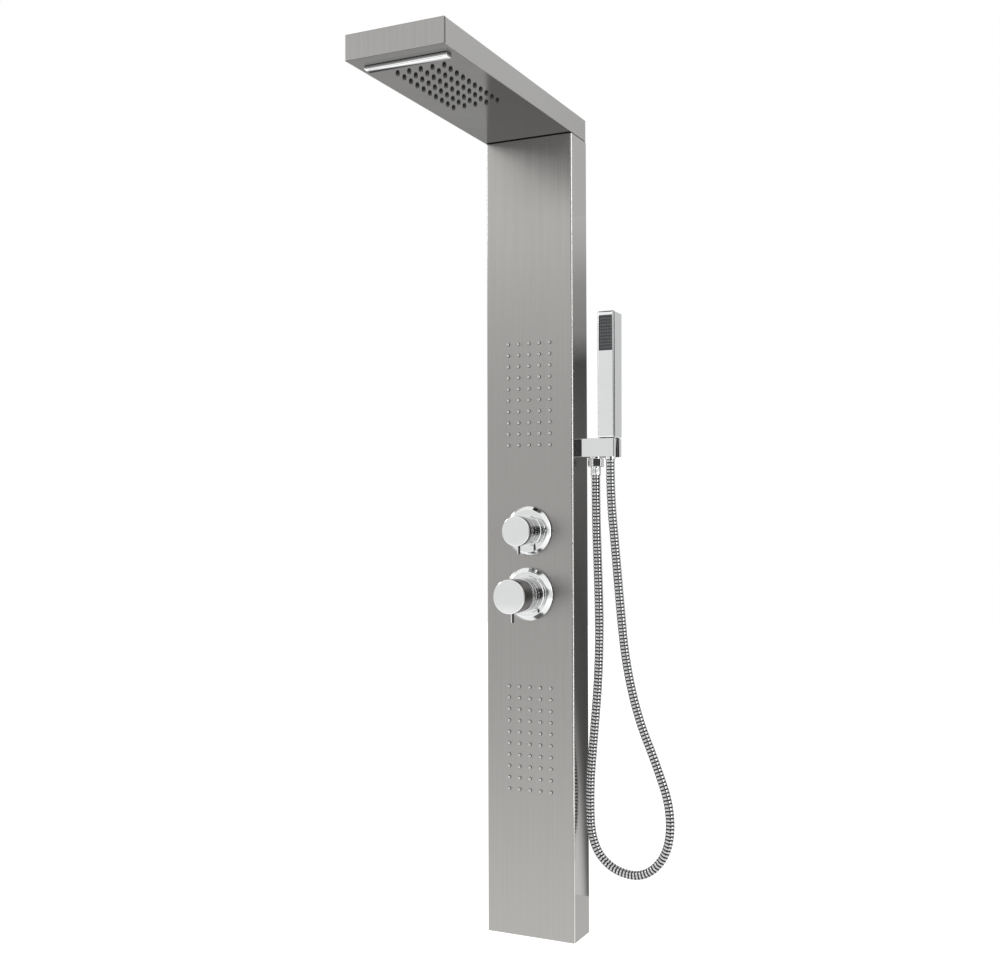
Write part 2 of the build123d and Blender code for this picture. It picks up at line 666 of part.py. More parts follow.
def make_wall_fixing():
    for middle in (WALL_SCREWS_HIGH / 2, -WALL_SCREWS_HIGH / 2):
        keep("wall_brackets", wall_bracket(middle))
        keep("hanger_bars", hanger_bar(middle))


# ------------------------------------------------------------------ waterfall outlet
def waterfall_neck_half():
    return HALF_WIDTH - WATERFALL_MARGIN - WATERFALL_NECK_INSET


def waterfall_lip():
    """Chrome outlet below the arm: a bar with a slot mouth and a neck up through the plate."""
    half = HALF_WIDTH - WATERFALL_MARGIN
    y0 = -WATERFALL_REACH - LIP_WIDTH / 2
    y1 = -WATERFALL_REACH + LIP_WIDTH / 2
    bar = block(-half, half, y0, y1, ARM_UNDERSIDE - LIP_DROP, ARM_UNDERSIDE)
    bar = fillet(bar.edges().group_by(Axis.Z)[0], 1.2)
    neck_half = waterfall_neck_half()
    neck0 = -WATERFALL_REACH - WATERFALL_NECK / 2
    neck1 = -WATERFALL_REACH + WATERFALL_NECK / 2
    neck_top = ARM_UNDERSIDE + SHEET + WATERFALL_NECK_RISE
    bar += block(-neck_half, neck_half, neck0, neck1, ARM_UNDERSIDE - 1, neck_top)
    mouth = block(
        -neck_half + 2, neck_half - 2, -WATERFALL_REACH - WATERFALL_SLOT / 2,
        -WATERFALL_REACH + WATERFALL_SLOT / 2, ARM_UNDERSIDE - LIP_DROP - 1, ARM_UNDERSIDE + 20,
    )
    return bar - mouth


def waterfall_chamber():
    """Plastic box that spreads the water along the outlet."""
    half = HALF_WIDTH - WATERFALL_MARGIN - SHEET
    wall = WATERFALL_WALL
    y0 = -WATERFALL_REACH - WATERFALL_BOX_HALF
    y1 = -WATERFALL_REACH + WATERFALL_BOX_HALF
    low = ARM_UNDERSIDE + SHEET
    high = low + WATERFALL_BOX_HEIGHT
    floor = low + WATERFALL_NECK_RISE + wall
    box = block(-half, half, y0, y1, low, high)
    box = fillet(box.edges().filter_by(Axis.Z), 2.0)
    box -= block(-half + wall, half - wall, y0 + wall, y1 - wall, floor, high - wall)
    neck_half = waterfall_neck_half() + SEAM_GAP
    neck0 = -WATERFALL_REACH - WATERFALL_NECK / 2 - SEAM_GAP
    neck1 = -WATERFALL_REACH + WATERFALL_NECK / 2 + SEAM_GAP
    box -= block(-neck_half, neck_half, neck0, neck1, low - 1, floor + 1)
    tail_end = y1 + TAIL_LENGTH
    box += rod("y", HOSE_RADIUS, -SIDE_RISER, ARM_PIPE_Z, y1 - wall, tail_end)
    return box - rod("y", HOSE_RADIUS - HOSE_WALL, -SIDE_RISER, ARM_PIPE_Z, y1 - 2 * wall, tail_end - 0.01)


# ------------------------------------------------------------------ valves
def valve_core(valve):
    """Brass barrel with its threaded neck and the bore for the cartridge."""
    z = valve["z"]
    core = rod("y", VALVE_BODY_RADIUS, 0, z, INNER_FRONT, valve["body_back"])
    core += rod("y", VALVE_NECK_RADIUS, 0, z, FRONT - VALVE_NECK_LENGTH, INNER_FRONT + 1)
    return core


def valve_bore(valve):
    bore_back = MIXER_BACK - BORE_FLOOR
    return rod("y", VALVE_BORE_RADIUS, 0, valve["z"], FRONT - VALVE_NECK_LENGTH - 1, bore_back)


def mixer_body():
    """Brass mixer: hot and cold arms with bosses for the inlets, and a riser to the diverter."""
    boss_back = inlet_boss_back()
    boss_front = FRONT_TIER - CASTING_ARM_RADIUS - 3.5
    socket_floor = MIXER_Z + VALVE_BODY_RADIUS
    body = valve_core(MIXER)
    body += rod("x", CASTING_ARM_RADIUS + 2, FRONT_TIER, MIXER_Z, -INLET_X, INLET_X)
    for x in (-INLET_X, INLET_X):
        body += rod("y", INLET_BOSS_RADIUS, x, MIXER_Z, boss_front, boss_back)
    link_boss = LINK_PIPE_RADIUS + LINK_BOSS_WALL
    body += rod("z", link_boss, 0, FRONT_TIER, MIXER_Z, socket_floor + LINK_BOSS_LENGTH)
    body -= valve_bore(MIXER)
    for x in (-INLET_X, INLET_X):
        thread = INLET_THREAD_RADIUS + THREAD_CLEARANCE
        body -= rod("y", thread, x, MIXER_Z, boss_back - INLET_SOCKET_DEPTH, boss_back + 1)
        body -= rod("y", INLET_BORE_RADIUS, x, MIXER_Z, FRONT_TIER - INLET_BORE_RADIUS, boss_back)
        body -= rod("x", INLET_BORE_RADIUS - 1, FRONT_TIER, MIXER_Z, *sorted((x, math.copysign(12.0, x))))
    socket_top = socket_floor + LINK_BOSS_LENGTH + 1
    return body - rod("z", LINK_PIPE_RADIUS + THREAD_CLEARANCE, 0, FRONT_TIER, socket_floor, socket_top)


def inlet_boss_back():
    """Depth at which the inlet bosses end and the nipples' hexagons begin."""
    return -INLET_SHORT_OF_WALL - INLET_THREAD_LENGTH - NIPPLE_HEXAGON


def inlet_nipple(x):
    """Threaded nipple that takes the hot or cold supply on its wall side."""
    boss_back = inlet_boss_back()
    end = -INLET_SHORT_OF_WALL
    nipple = rod("y", INLET_THREAD_RADIUS, x, MIXER_Z, boss_back - INLET_SOCKET_DEPTH, end)
    nipple += hexagon("y", NIPPLE_ACROSS_FLATS, x, MIXER_Z, boss_back, boss_back + NIPPLE_HEXAGON)
    return nipple - rod("y", INLET_BORE_RADIUS, x, MIXER_Z, boss_back - INLET_SOCKET_DEPTH - 1, end + 1)


def check_valves():
    """A non-return cartridge inside each inlet."""
    boss_back = inlet_boss_back()
    valves = []
    for x in (-INLET_X, INLET_X):
        shell = rod("y", INLET_BORE_RADIUS - 0.1, x, MIXER_Z, boss_back - 6, boss_back + 8)
        shell -= ring("y", INLET_BORE_RADIUS - 1.5, 2.2, x, MIXER_Z, boss_back - 4, boss_back + 9)
        valves.append(shell)
    return valves


def diverter_body():
    """Brass diverter: inlet below, five outlets that leave it as hose tails."""
    z = DIVERTER_Z
    core_edge = VALVE_BODY_RADIUS
    side_arm = HOSE_RADIUS + CASTING_WALL
    body = valve_core(DIVERTER)
    body += rod("z", LINK_PIPE_RADIUS + LINK_BOSS_WALL, 0, FRONT_TIER, z - core_edge - LINK_BOSS_LENGTH, z)
    body += rod("z", HOSE_RADIUS, 0, jet_feed_y(), z, z + core_edge + TAIL_LENGTH)
    body += rod("x", side_arm, FRONT_TIER, z, -SIDE_RISER, SIDE_RISER)
    for x in (-SIDE_RISER, SIDE_RISER):
        body += Pos(x, FRONT_TIER, z) * Sphere(side_arm)
        body += rod("z", HOSE_RADIUS, x, FRONT_TIER, z, z + core_edge + TAIL_LENGTH)
    body += rod("x", CASTING_ARM_RADIUS - 1, REAR_TIER, z, -REAR_RISER, DROPPER_X)
    body += Pos(-REAR_RISER, REAR_TIER, z) * Sphere(CASTING_ARM_RADIUS - 1)
    body += rod("z", HOSE_RADIUS, -REAR_RISER, REAR_TIER, z, z + core_edge + TAIL_LENGTH)
    body += Pos(DROPPER_X, REAR_TIER, z) * Sphere(CASTING_ARM_RADIUS - 1)
    body += rod("z", HOSE_RADIUS, DROPPER_X, REAR_TIER, z - core_edge - TAIL_LENGTH, z)
    body -= valve_bore(DIVERTER)
    socket_top = z - core_edge
    socket_foot = socket_top - LINK_BOSS_LENGTH - 1
    return body - rod("z", LINK_PIPE_RADIUS + THREAD_CLEARANCE, 0, FRONT_TIER, socket_foot, socket_top)


def jet_feed_y():
    """Depth of the upper jet chamber's spigot."""
    return INNER_FRONT + MAT_THICKNESS + CHAMBER_DEPTH / 2


def link_pipe():
    """Copper pipe from the mixer up to the diverter."""
    low = MIXER_Z + VALVE_BODY_RADIUS
    high = DIVERTER_Z - VALVE_BODY_RADIUS
    return ring("z", LINK_PIPE_RADIUS, LINK_PIPE_RADIUS - LINK_PIPE_WALL, 0, FRONT_TIER, low, high)


def link_pipe_nuts():
    """The two compression nuts on the link pipe."""
    low = MIXER_Z + VALVE_BODY_RADIUS + LINK_BOSS_LENGTH
    high = DIVERTER_Z - VALVE_BODY_RADIUS - LINK_BOSS_LENGTH
    hole = LINK_PIPE_RADIUS + THREAD_CLEARANCE
    lower = hexagon("z", LINK_NUT_ACROSS_FLATS, 0, FRONT_TIER, low, low + LINK_NUT_THICKNESS)
    upper = hexagon("z", LINK_NUT_ACROSS_FLATS, 0, FRONT_TIER, high - LINK_NUT_THICKNESS, high)
    return [nut - rod("z", hole, 0, FRONT_TIER, low - 1, high + 1) for nut in (lower, upper)]


def hub_back(valve):
    """Depth at which the knob's back and hub begin."""
    return FRONT - valve["collar_front"] - KNOB_GAP


def make_cartridge(valve):
    """Plastic housing, a fixed ceramic disc and the spindle that carries the moving disc."""
    z = valve["z"]
    bore_back = MIXER_BACK - BORE_FLOOR
    housing_radius = VALVE_BORE_RADIUS - CARTRIDGE_GAP
    housing_front = FRONT - VALVE_NECK_LENGTH + GLAND_THICKNESS
    cavity_radius = housing_radius - CARTRIDGE_WALL
    cavity_back = bore_back - CARTRIDGE_WALL
    disc_face = cavity_back - DISC_THICKNESS
    moving_face = disc_face - DISC_THICKNESS
    flange_face = moving_face - DISC_THICKNESS

    housing = rod("y", housing_radius, 0, z, housing_front, bore_back)
    housing -= rod("y", cavity_radius, 0, z, flange_face - 0.3, cavity_back)
    housing -= rod("y", SPINDLE_RADIUS + RUNNING_GAP, 0, z, housing_front - 1, flange_face)
    ports = [rod("y", PORT_RADIUS, x, z, disc_face - 1, bore_back + 1) for x in (-PORT_OFFSET, PORT_OFFSET)]
    keep("valve_cartridges", housing - ports)
    fixed_disc = rod("y", cavity_radius - CARTRIDGE_GAP, 0, z, disc_face, cavity_back)
    keep("fixed_ceramic_discs", fixed_disc - ports)

    spindle = rod("y", cavity_radius - 0.5, 0, z, moving_face, disc_face)
    spindle -= block(-8, 8, moving_face - 1, disc_face + 1, z - 2, z + 2)
    spindle += rod("y", SPINDLE_FLANGE_RADIUS, 0, z, flange_face, moving_face)
    spindle += rod("y", SPINDLE_RADIUS, 0, z, hub_back(valve) - SPINDLE_IN_HUB, flange_face)
    keep(valve["name"] + "_spindle", spindle)


def make_neck_fixings(valve):
    """Gland nut that keeps the cartridge in, and the lock nut against the column."""
    z = valve["z"]
    neck_front = FRONT - VALVE_NECK_LENGTH
    housing_front = neck_front + GLAND_THICKNESS
    cap = rod("y", VALVE_NECK_RADIUS - 0.5, 0, z, neck_front - GLAND_THICKNESS, neck_front)
    cap += rod("y", VALVE_BORE_RADIUS - THREAD_CLEARANCE, 0, z, neck_front, housing_front)
    hole = rod("y", SPINDLE_RADIUS + 0.5, 0, z, neck_front - GLAND_THICKNESS - 1, housing_front + 1)
    keep("gland_nuts", cap - hole)
    nut = hexagon("y", LOCK_NUT_ACROSS_FLATS, 0, z, FRONT - LOCK_NUT_THICKNESS, FRONT)
    neck = rod("y", VALVE_NECK_RADIUS + THREAD_CLEARANCE, 0, z, FRONT - LOCK_NUT_THICKNESS - 1, FRONT + 1)
    keep("lock_nuts", nut - neck)


def make_escutcheon(valve):
    """Bevelled cover plate on its seal, and the collar in front of it."""
    name = valve["name"]
    z = valve["z"]
    edge = valve["escutcheon_radius"]
    depth = valve["escutcheon_depth"]
    bevel = valve["escutcheon_bevel"]
    collar = valve["collar_radius"]
    front = valve["collar_front"]
    keep(name + "_escutcheon", turned(
        [(edge - 0.5, ESCUTCHEON_SEAL), (edge, ESCUTCHEON_SEAL + 0.8), (edge, depth * 0.35),
         (edge - 1.0, depth * 0.55), (edge - bevel, depth), (collar - 2, depth), (collar - 2, depth - 1.5),
         (edge - bevel - 1, depth - 1.5), (edge - 2.5, depth * 0.45), (edge - 2.5, ESCUTCHEON_SEAL)], z))
    keep("escutcheon_seals", ring("y", edge - 1, edge - 4, 0, z, FRONT - ESCUTCHEON_SEAL, FRONT))
    keep(name + "_collar", turned(
        [(collar - 2, depth), (collar, depth), (collar, front - 1), (collar - 1, front),
         (SPINDLE_RADIUS + 1, front), (SPINDLE_RADIUS + 1, front - 1.5), (collar - 2, front - 1.5)], z))


def make_knob(valve):
    """Closed cup with a hub on the spindle, its lever and its set screw."""
    name = valve["name"]
    z = valve["z"]
    face = valve["knob_front"]
    radius = valve["knob_radius"]
    back = valve["collar_front"] + KNOB_GAP
    rim = radius - KNOB_WALL
    floor = face - KNOB_WALL
    knob = turned(
        [(SPINDLE_RADIUS, back), (HUB_RADIUS, back), (HUB_RADIUS, floor), (rim, floor), (rim, back),
         (radius - 1, back), (radius, back + 1), (radius, face - 0.8), (radius - 0.8, face),
         (0, face), (0, back + SPINDLE_IN_HUB), (SPINDLE_RADIUS, back + SPINDLE_IN_HUB)], z)
    lever_y = FRONT - face + valve["lever_behind_face"]
    screw_y = hub_back(valve) - 4.5
    knob -= rod("z", LEVER_RADIUS, 0, lever_y, z - radius - 1, z - rim + 1)
    knob -= rod("z", SET_SCREW_RADIUS, 0, screw_y, z - radius - 1, z - SPINDLE_RADIUS + 1)
    keep(name + "_knob", knob)
    lever = rod("z", LEVER_RADIUS, 0, lever_y, z - radius - valve["lever_stands_out"], z - rim + 1)
    keep(name + "_lever", chamfer(lever.edges().group_by(Axis.Z)[0], 0.6))
    screw_top = z - SPINDLE_RADIUS - THREAD_CLEARANCE
    screw = rod("z", SET_SCREW_RADIUS, 0, screw_y, screw_top - SET_SCREW_LENGTH, screw_top)
    keep(name + "_set_screw", screw)


def make_valves():
    keep("mixer_body", mixer_body())
    keep("inlet_nipples", inlet_nipple(-INLET_X), inlet_nipple(INLET_X))
    keep("check_valves", *check_valves())
    keep("diverter_body", diverter_body())
    keep("link_pipe", link_pipe())
    keep("link_pipe_nuts", *link_pipe_nuts())
    for valve in (MIXER, DIVERTER):
        make_cartridge(valve)
        make_neck_fixings(valve)
        make_escutcheon(valve)
        make_knob(valve)


# ------------------------------------------------------------------ hoses inside the column
def rain_feed_reach():
    """Where the rain chamber's spigot ends, in front of the wall."""
    return -RAIN_CENTRE_REACH + MAT_HALF_HIGH + TAIL_LENGTH


def inner_hose_routes():
    """Name, points, bends and whether each end sits on a tail along Z or Y."""
    tail_top = DIVERTER_Z + VALVE_BODY_RADIUS + TAIL_LENGTH
    tail_foot = DIVERTER_Z - VALVE_BODY_RADIUS - TAIL_LENGTH
    lower_spigot = FOOT + LOWER_JETS_HEIGHT + MAT_HALF_HIGH + TAIL_LENGTH
    upper_spigot = FOOT + UPPER_JETS_HEIGHT - MAT_HALF_HIGH - TAIL_LENGTH
    spigot_y = jet_feed_y()
    waterfall_end = -WATERFALL_REACH + WATERFALL_BOX_HALF + TAIL_LENGTH
    behind_mixer = MIXER_BACK + HOSE_RADIUS + 2.5
    elbow_foot = HOLDER_Z - OUTLET_TAIL
    rain = [
        (-REAR_RISER, REAR_TIER, tail_top), (-REAR_RISER, REAR_TIER, ARM_PIPE_Z),
        (-24.0, FRONT - 50.0, RAIN_PIPE_Z + 2), (0, FRONT - 105.0, RAIN_PIPE_Z),
        (0, rain_feed_reach(), RAIN_PIPE_Z),
    ]
    waterfall = [
        (-SIDE_RISER, FRONT_TIER, tail_top), (-SIDE_RISER, FRONT_TIER, ARM_PIPE_Z),
        (-SIDE_RISER, waterfall_end, ARM_PIPE_Z),
    ]
    lower = [
        (DROPPER_X, REAR_TIER, tail_foot), (DROPPER_X, REAR_TIER, tail_foot - 12),
        (DROPPER_X, behind_mixer, tail_foot - 36), (DROPPER_X, behind_mixer, lower_spigot + 75),
        (LOWER_SPIGOT_X, spigot_y, lower_spigot + 22), (LOWER_SPIGOT_X, spigot_y, lower_spigot),
    ]
    hand = [
        (SIDE_RISER, FRONT_TIER, tail_top), (SIDE_RISER, FRONT_TIER, tail_top + 20),
        (SIDE_RISER, HOLDER_Y, elbow_foot - 20), (SIDE_RISER, HOLDER_Y, elbow_foot),
    ]
    upper = [(0, spigot_y, tail_top), (0, spigot_y, upper_spigot)]
    return [
        ("arm_hoses", rain, [40.0, 120.0, 80.0]),
        ("arm_hoses", waterfall, [25.0]),
        ("body_jet_hoses", lower, [30.0, 30.0, 50.0, 20.0]),
        ("hand_shower_feed", hand, [30.0, 30.0]),
        ("body_jet_hoses", upper, []),
    ]


def make_inner_hoses():
    for name, points, radii in inner_hose_routes():
        if radii:
            keep(name, pipe(points, radii, HOSE_RADIUS))
        else:
            keep(name, rod("z", HOSE_RADIUS, *points[0], points[1][2]))
        keep("hose_ferrules", ferrule(points[0], points[1]), ferrule(points[-1], points[-2]))


def ferrule(end, neighbour):
    """Crimped sleeve over a hose end and the tail that it meets."""
    if abs(end[2] - neighbour[2]) > abs(end[1] - neighbour[1]):
        return ring(
            "z", HOSE_RADIUS + FERRULE_WALL, HOSE_RADIUS + FERRULE_GAP, end[0], end[1],
            end[2] - FERRULE_LENGTH / 2, end[2] + FERRULE_LENGTH / 2,
        )
    return ring(
        "y", HOSE_RADIUS + FERRULE_WALL, HOSE_RADIUS + FERRULE_GAP, end[0], end[2],
        end[1] - FERRULE_LENGTH / 2, end[1] + FERRULE_LENGTH / 2,
    )


# ------------------------------------------------------------------ holder, outlet and shower hose
def holder_screw_heights():
    return (HOLDER_Z - HOLDER_SCREW_OFFSET, HOLDER_Z + HOLDER_SCREW_OFFSET)


def holder():
    """Chrome block on the column's side: outlet below, socket and hose slot at its free end."""
    free_end = HALF_WIDTH + HOLDER_LENGTH
    y0 = -HOLDER_FRONT
    y1 = -HOLDER_FRONT + HOLDER_DEPTH
    body = block(HALF_WIDTH, free_end, y0, y1, HOLDER_FOOT, HOLDER_TOP)
    body = fillet(body.edges().filter_by(Axis.X) + body.edges().group_by(Axis.X)[-1], 0.8)
    body -= rod("z", SOCKET_RADIUS, SOCKET_X, HOLDER_Y, HOLDER_FOOT - 1, HOLDER_TOP + 1)
    body -= block(SOCKET_X, free_end + 1, HOLDER_Y - HOSE_SLOT / 2, HOLDER_Y + HOSE_SLOT / 2,
                  HOLDER_FOOT - 1, HOLDER_TOP + 1)
    body -= rod("x", OUTLET_PIPE_RADIUS + 0.1, HOLDER_Y, HOLDER_Z, HALF_WIDTH - 1, OUTLET_X)
    socket_top = HOLDER_Z + INLET_THREAD_RADIUS
    body -= rod("z", INLET_THREAD_RADIUS + 0.1, OUTLET_X, HOLDER_Y, HOLDER_FOOT - 1, socket_top)
    for z in holder_screw_heights():
        body -= rod("x", HOLDER_SCREW_RADIUS + THREAD_CLEARANCE, HOLDER_Y, z,
                    HALF_WIDTH - 1, HALF_WIDTH + HOLDER_SCREW_LENGTH + 1)
    return body


def holder_screws():
    """Two screws through the column's side into the holder."""
    screws = []
    for z in holder_screw_heights():
        head = INNER_HALF - HOLDER_SCREW_HEAD_THICKNESS
        shank = rod("x", HOLDER_SCREW_RADIUS, HOLDER_Y, z, head, HALF_WIDTH + HOLDER_SCREW_LENGTH)
        screws.append(shank + rod("x", HOLDER_SCREW_HEAD, HOLDER_Y, z, head, INNER_HALF))
    return screws


def outlet_elbow():
    """Brass water way from inside the column through the holder to a thread below it."""
    elbow = rod("x", OUTLET_PIPE_RADIUS, HOLDER_Y, HOLDER_Z, SIDE_RISER, OUTLET_X)
    elbow += Pos(SIDE_RISER, HOLDER_Y, HOLDER_Z) * Sphere(OUTLET_PIPE_RADIUS)
    elbow += rod("z", HOSE_RADIUS, SIDE_RISER, HOLDER_Y, HOLDER_Z - OUTLET_TAIL, HOLDER_Z)
    thread_foot = HOLDER_FOOT - OUTLET_THREAD_LENGTH
    block_top = HOLDER_Z + INLET_THREAD_RADIUS - 0.1
    elbow += rod("z", INLET_THREAD_RADIUS, OUTLET_X, HOLDER_Y, thread_foot, block_top)
    return elbow - rod("z", OUTLET_BORE_RADIUS, OUTLET_X, HOLDER_Y, thread_foot - 1, HOLDER_Z)


def outlet_hose_nut():
    """Hexagon nut that holds the hose on the outlet."""
    top = NUT_FOOT + HOSE_NUT_LENGTH
    nut = hexagon("z", 2 * HOSE_NUT_RADIUS, OUTLET_X, HOLDER_Y, NUT_FOOT, top)
    nut -= rod("z", INLET_THREAD_RADIUS + THREAD_CLEARANCE, OUTLET_X, HOLDER_Y, NUT_FOOT + 3, top + 1)
    return nut - rod("z", HOSE_SLEEVE_RADIUS - 1.0, OUTLET_X, HOLDER_Y, NUT_FOOT - 1, NUT_FOOT + 4)


def outlet_hose_washer():
    """Rubber washer between the outlet and the hose."""
    seat = HOLDER_FOOT - OUTLET_THREAD_LENGTH
    return ring("z", INLET_THREAD_RADIUS - 0.5, 5.0, OUTLET_X, HOLDER_Y, seat - 2, seat)


def outlet_hose_sleeve():
    """Crimped sleeve at the top end of the hose."""
    sleeve = rod("z", HOSE_SLEEVE_RADIUS, OUTLET_X, HOLDER_Y, SLEEVE_FOOT, NUT_FOOT)
    sleeve += rod("z", HOSE_SLEEVE_RADIUS - 1.2, OUTLET_X, HOLDER_Y, NUT_FOOT, NUT_FOOT + 3)
    return sleeve - rod("z", OUTLET_BORE_RADIUS, OUTLET_X, HOLDER_Y, NUT_FOOT - 2, NUT_FOOT + 4)


def cone_nut():
    """Conical nut at the hand shower's end of the hose; it hangs in the holder's socket."""
    outer = Pos(SOCKET_X, HOLDER_Y, CONE_NUT_FOOT) * extrude_cone(
        CONE_NUT_FOOT_RADIUS, CONE_NUT_TOP_RADIUS, HOLDER_TOP - CONE_NUT_FOOT - 1.0)
    thread = CONE_THREAD_RADIUS + THREAD_CLEARANCE
    floor = HOLDER_TOP - CONE_THREAD_LENGTH - 3.0
    return outer - rod("z", thread, SOCKET_X, HOLDER_Y, floor, HOLDER_TOP + 1)


def extrude_cone(foot_radius, top_radius, height):
    """A cone that stands on z = 0."""
    return Pos(0, 0, height / 2) * Cone(foot_radius, top_radius, height)


def make_holder():
    keep("hand_shower_holder", holder())
    keep("holder_screws", *holder_screws())
    keep("outlet_elbow", outlet_elbow())
    keep("outlet_hose_nut", outlet_hose_nut())
    keep("outlet_hose_washer", outlet_hose_washer())
    keep("outlet_hose_sleeve", outlet_hose_sleeve())
    keep("cone_nut", cone_nut())
    radii = corner_radii(SHOWER_HOSE_ROUTE)
    hose = pipe(SHOWER_HOSE_ROUTE, radii, SHOWER_HOSE_RADIUS)
    keep("shower_hose", hose)
    length = FilletPolyline(*SHOWER_HOSE_ROUTE, radius=radii).length
    section = math.pi * SHOWER_HOSE_RADIUS ** 2
    print("shower hose length", round(length, 1), "volume / (section x length)",
          round(hose.volume / (section * length), 4))
    print("shower hose bends", [round(radius) for radius in radii])


# ------------------------------------------------------------------ hand shower
def hand_shower_outline(inset, foot, top):
    """Side view of the hand shower, a little deeper at its head than at its foot."""
    foot_back = HAND_FRONT + HAND_SHOWER_FOOT_DEPTH - inset
    head_back = HAND_FRONT + HAND_SHOWER_HEAD_DEPTH - inset
    front = HAND_FRONT + inset
    outline = Polyline([(front, foot), (foot_back, foot), (head_back, top), (front, top)], close=True)
    half = HAND_SHOWER_WIDTH / 2 - inset
    return Pos(SOCKET_X, 0, 0) * extrude(Plane.YZ * make_face(outline), half, both=True)


def hand_shower_body():
    """Square-section chrome handle and head in one shell."""
    body = hand_shower_outline(0, HAND_FOOT, HAND_TOP)
    body = fillet(body.edges(), 1.6)
    body -= hand_shower_outline(HAND_SHOWER_WALL, HAND_FOOT + 6, HAND_TOP - HAND_SHOWER_WALL)
    body -= face_block(0, HAND_FRONT - 1, HAND_FRONT + HAND_SHOWER_WALL + 1)
    ledge = FACE_RECESS + LEDGE_THICKNESS
    frame = face_block(HAND_SHOWER_WALL, HAND_FRONT + FACE_RECESS, HAND_FRONT + ledge)
    frame -= face_block(-LEDGE_OVERLAP, HAND_FRONT, HAND_FRONT + ledge + 1)
    body += frame
    return body - rod("z", 7.55, SOCKET_X, HOLDER_Y, HAND_FOOT - 1, HAND_FOOT + 7)


def face_block(margin, y0, y1):
    """A block the size of the spray face, with a margin all round."""
    high = HAND_TOP - FACE_BELOW_TOP + margin
    low = HAND_TOP - FACE_BELOW_TOP - FACE_HEIGHT - margin
    half = FACE_WIDTH / 2 + margin
    return block(SOCKET_X - half, SOCKET_X + half, y0, y1, low, high)


def hand_nozzle_spots():
    left = SOCKET_X - (HAND_NOZZLE_COLUMNS - 1) * HAND_NOZZLE_PITCH_WIDE / 2
    low = HAND_TOP - FACE_BELOW_TOP - FACE_HEIGHT / 2 - (HAND_NOZZLE_ROWS - 1) * HAND_NOZZLE_PITCH_HIGH / 2
    for column in range(HAND_NOZZLE_COLUMNS):
        for row in range(HAND_NOZZLE_ROWS):
            yield left + column * HAND_NOZZLE_PITCH_WIDE, low + row * HAND_NOZZLE_PITCH_HIGH


def hand_shower_face():
    """Dark plate over the nozzles, a little below the handle's front."""
    back = HAND_FRONT + FACE_RECESS
    plate = face_block(-FACE_GAP, back - FACE_THICKNESS, back)
    hole = HAND_NOZZLE_RADIUS + HAND_NOZZLE_GAP
    return plate - [rod("y", hole, x, z, HAND_FRONT, back + 1) for x, z in hand_nozzle_spots()]


def hand_shower_nozzles():
    """Silicone mat behind the face with fifty small nozzles through it."""
    back = HAND_FRONT + FACE_RECESS
    mat = face_block(-LEDGE_OVERLAP - 0.3, back, back + LEDGE_THICKNESS)
    front = HAND_FRONT + FACE_GAP
    return mat + [rod("y", HAND_NOZZLE_RADIUS, x, z, front, back + 0.5) for x, z in hand_nozzle_spots()]


def hand_shower_waterway():
    """Plastic water box behind the nozzle mat, with its pipe down the handle."""
    front = HAND_FRONT + FACE_RECESS + LEDGE_THICKNESS
    inset = LEDGE_OVERLAP + 0.3
    box = face_block(-inset, front, front + 14)
    box -= face_block(-2 * inset, front - 1, front + 12)
    box_foot = HAND_TOP - FACE_BELOW_TOP - FACE_HEIGHT + inset
    pipe_axis = front + 8.0
    low = HAND_FOOT + HAND_INLET_LENGTH
    points = [
        (SOCKET_X, HOLDER_Y, low), (SOCKET_X, HOLDER_Y, low + 25),
        (SOCKET_X, pipe_axis, box_foot - 25), (SOCKET_X, pipe_axis, box_foot + 1),
    ]
    return box + pipe(points, [60.0, 60.0], 4.8)


def hand_shower_inlet():
    """Brass foot of the hand shower: collar inside the handle and a thread for the cone nut."""
    thread_foot = HOLDER_TOP - CONE_THREAD_LENGTH
    top = HAND_FOOT + HAND_INLET_LENGTH
    inlet = rod("z", 10.0, SOCKET_X, HOLDER_Y, HAND_FOOT + 6, top)
    inlet += rod("z", 7.5, SOCKET_X, HOLDER_Y, HAND_FOOT, HAND_FOOT + 7)
    inlet += rod("z", CONE_THREAD_RADIUS, SOCKET_X, HOLDER_Y, thread_foot, HAND_FOOT)
    return inlet - rod("z", 4.0, SOCKET_X, HOLDER_Y, thread_foot - 1, top - 1)


def cone_nut_washer():
    """Rubber washer between the hose and the hand shower's foot."""
    seat = HOLDER_TOP - CONE_THREAD_LENGTH
    return ring("z", CONE_THREAD_RADIUS - 0.2, 4.0, SOCKET_X, HOLDER_Y, seat - 2.5, seat)


def make_hand_shower():
    keep("hand_shower_body", hand_shower_body())
    keep("hand_shower_face", hand_shower_face())
    keep("hand_shower_nozzles", hand_shower_nozzles())
    keep("hand_shower_waterway", hand_shower_waterway())
    keep("hand_shower_inlet", hand_shower_inlet())
    keep("cone_nut_washer", cone_nut_washer())


# ------------------------------------------------------------------ build and write
def main():
    make_sheet_work()
    make_wall_fixing()
    make_spray_groups()
    keep("waterfall_lip", waterfall_lip())
    keep("waterfall_chamber", waterfall_chamber())
    make_valves()
    make_inner_hoses()
    make_holder()
    make_hand_shower()
    os.makedirs("parts", exist_ok=True)
    for name, pieces in PARTS.items():
        shape = pieces[0] if len(pieces) == 1 else Compound(pieces)
        export_step(shape, "parts/" + name + ".step")
    print(len(PARTS), "nodes written")


main()
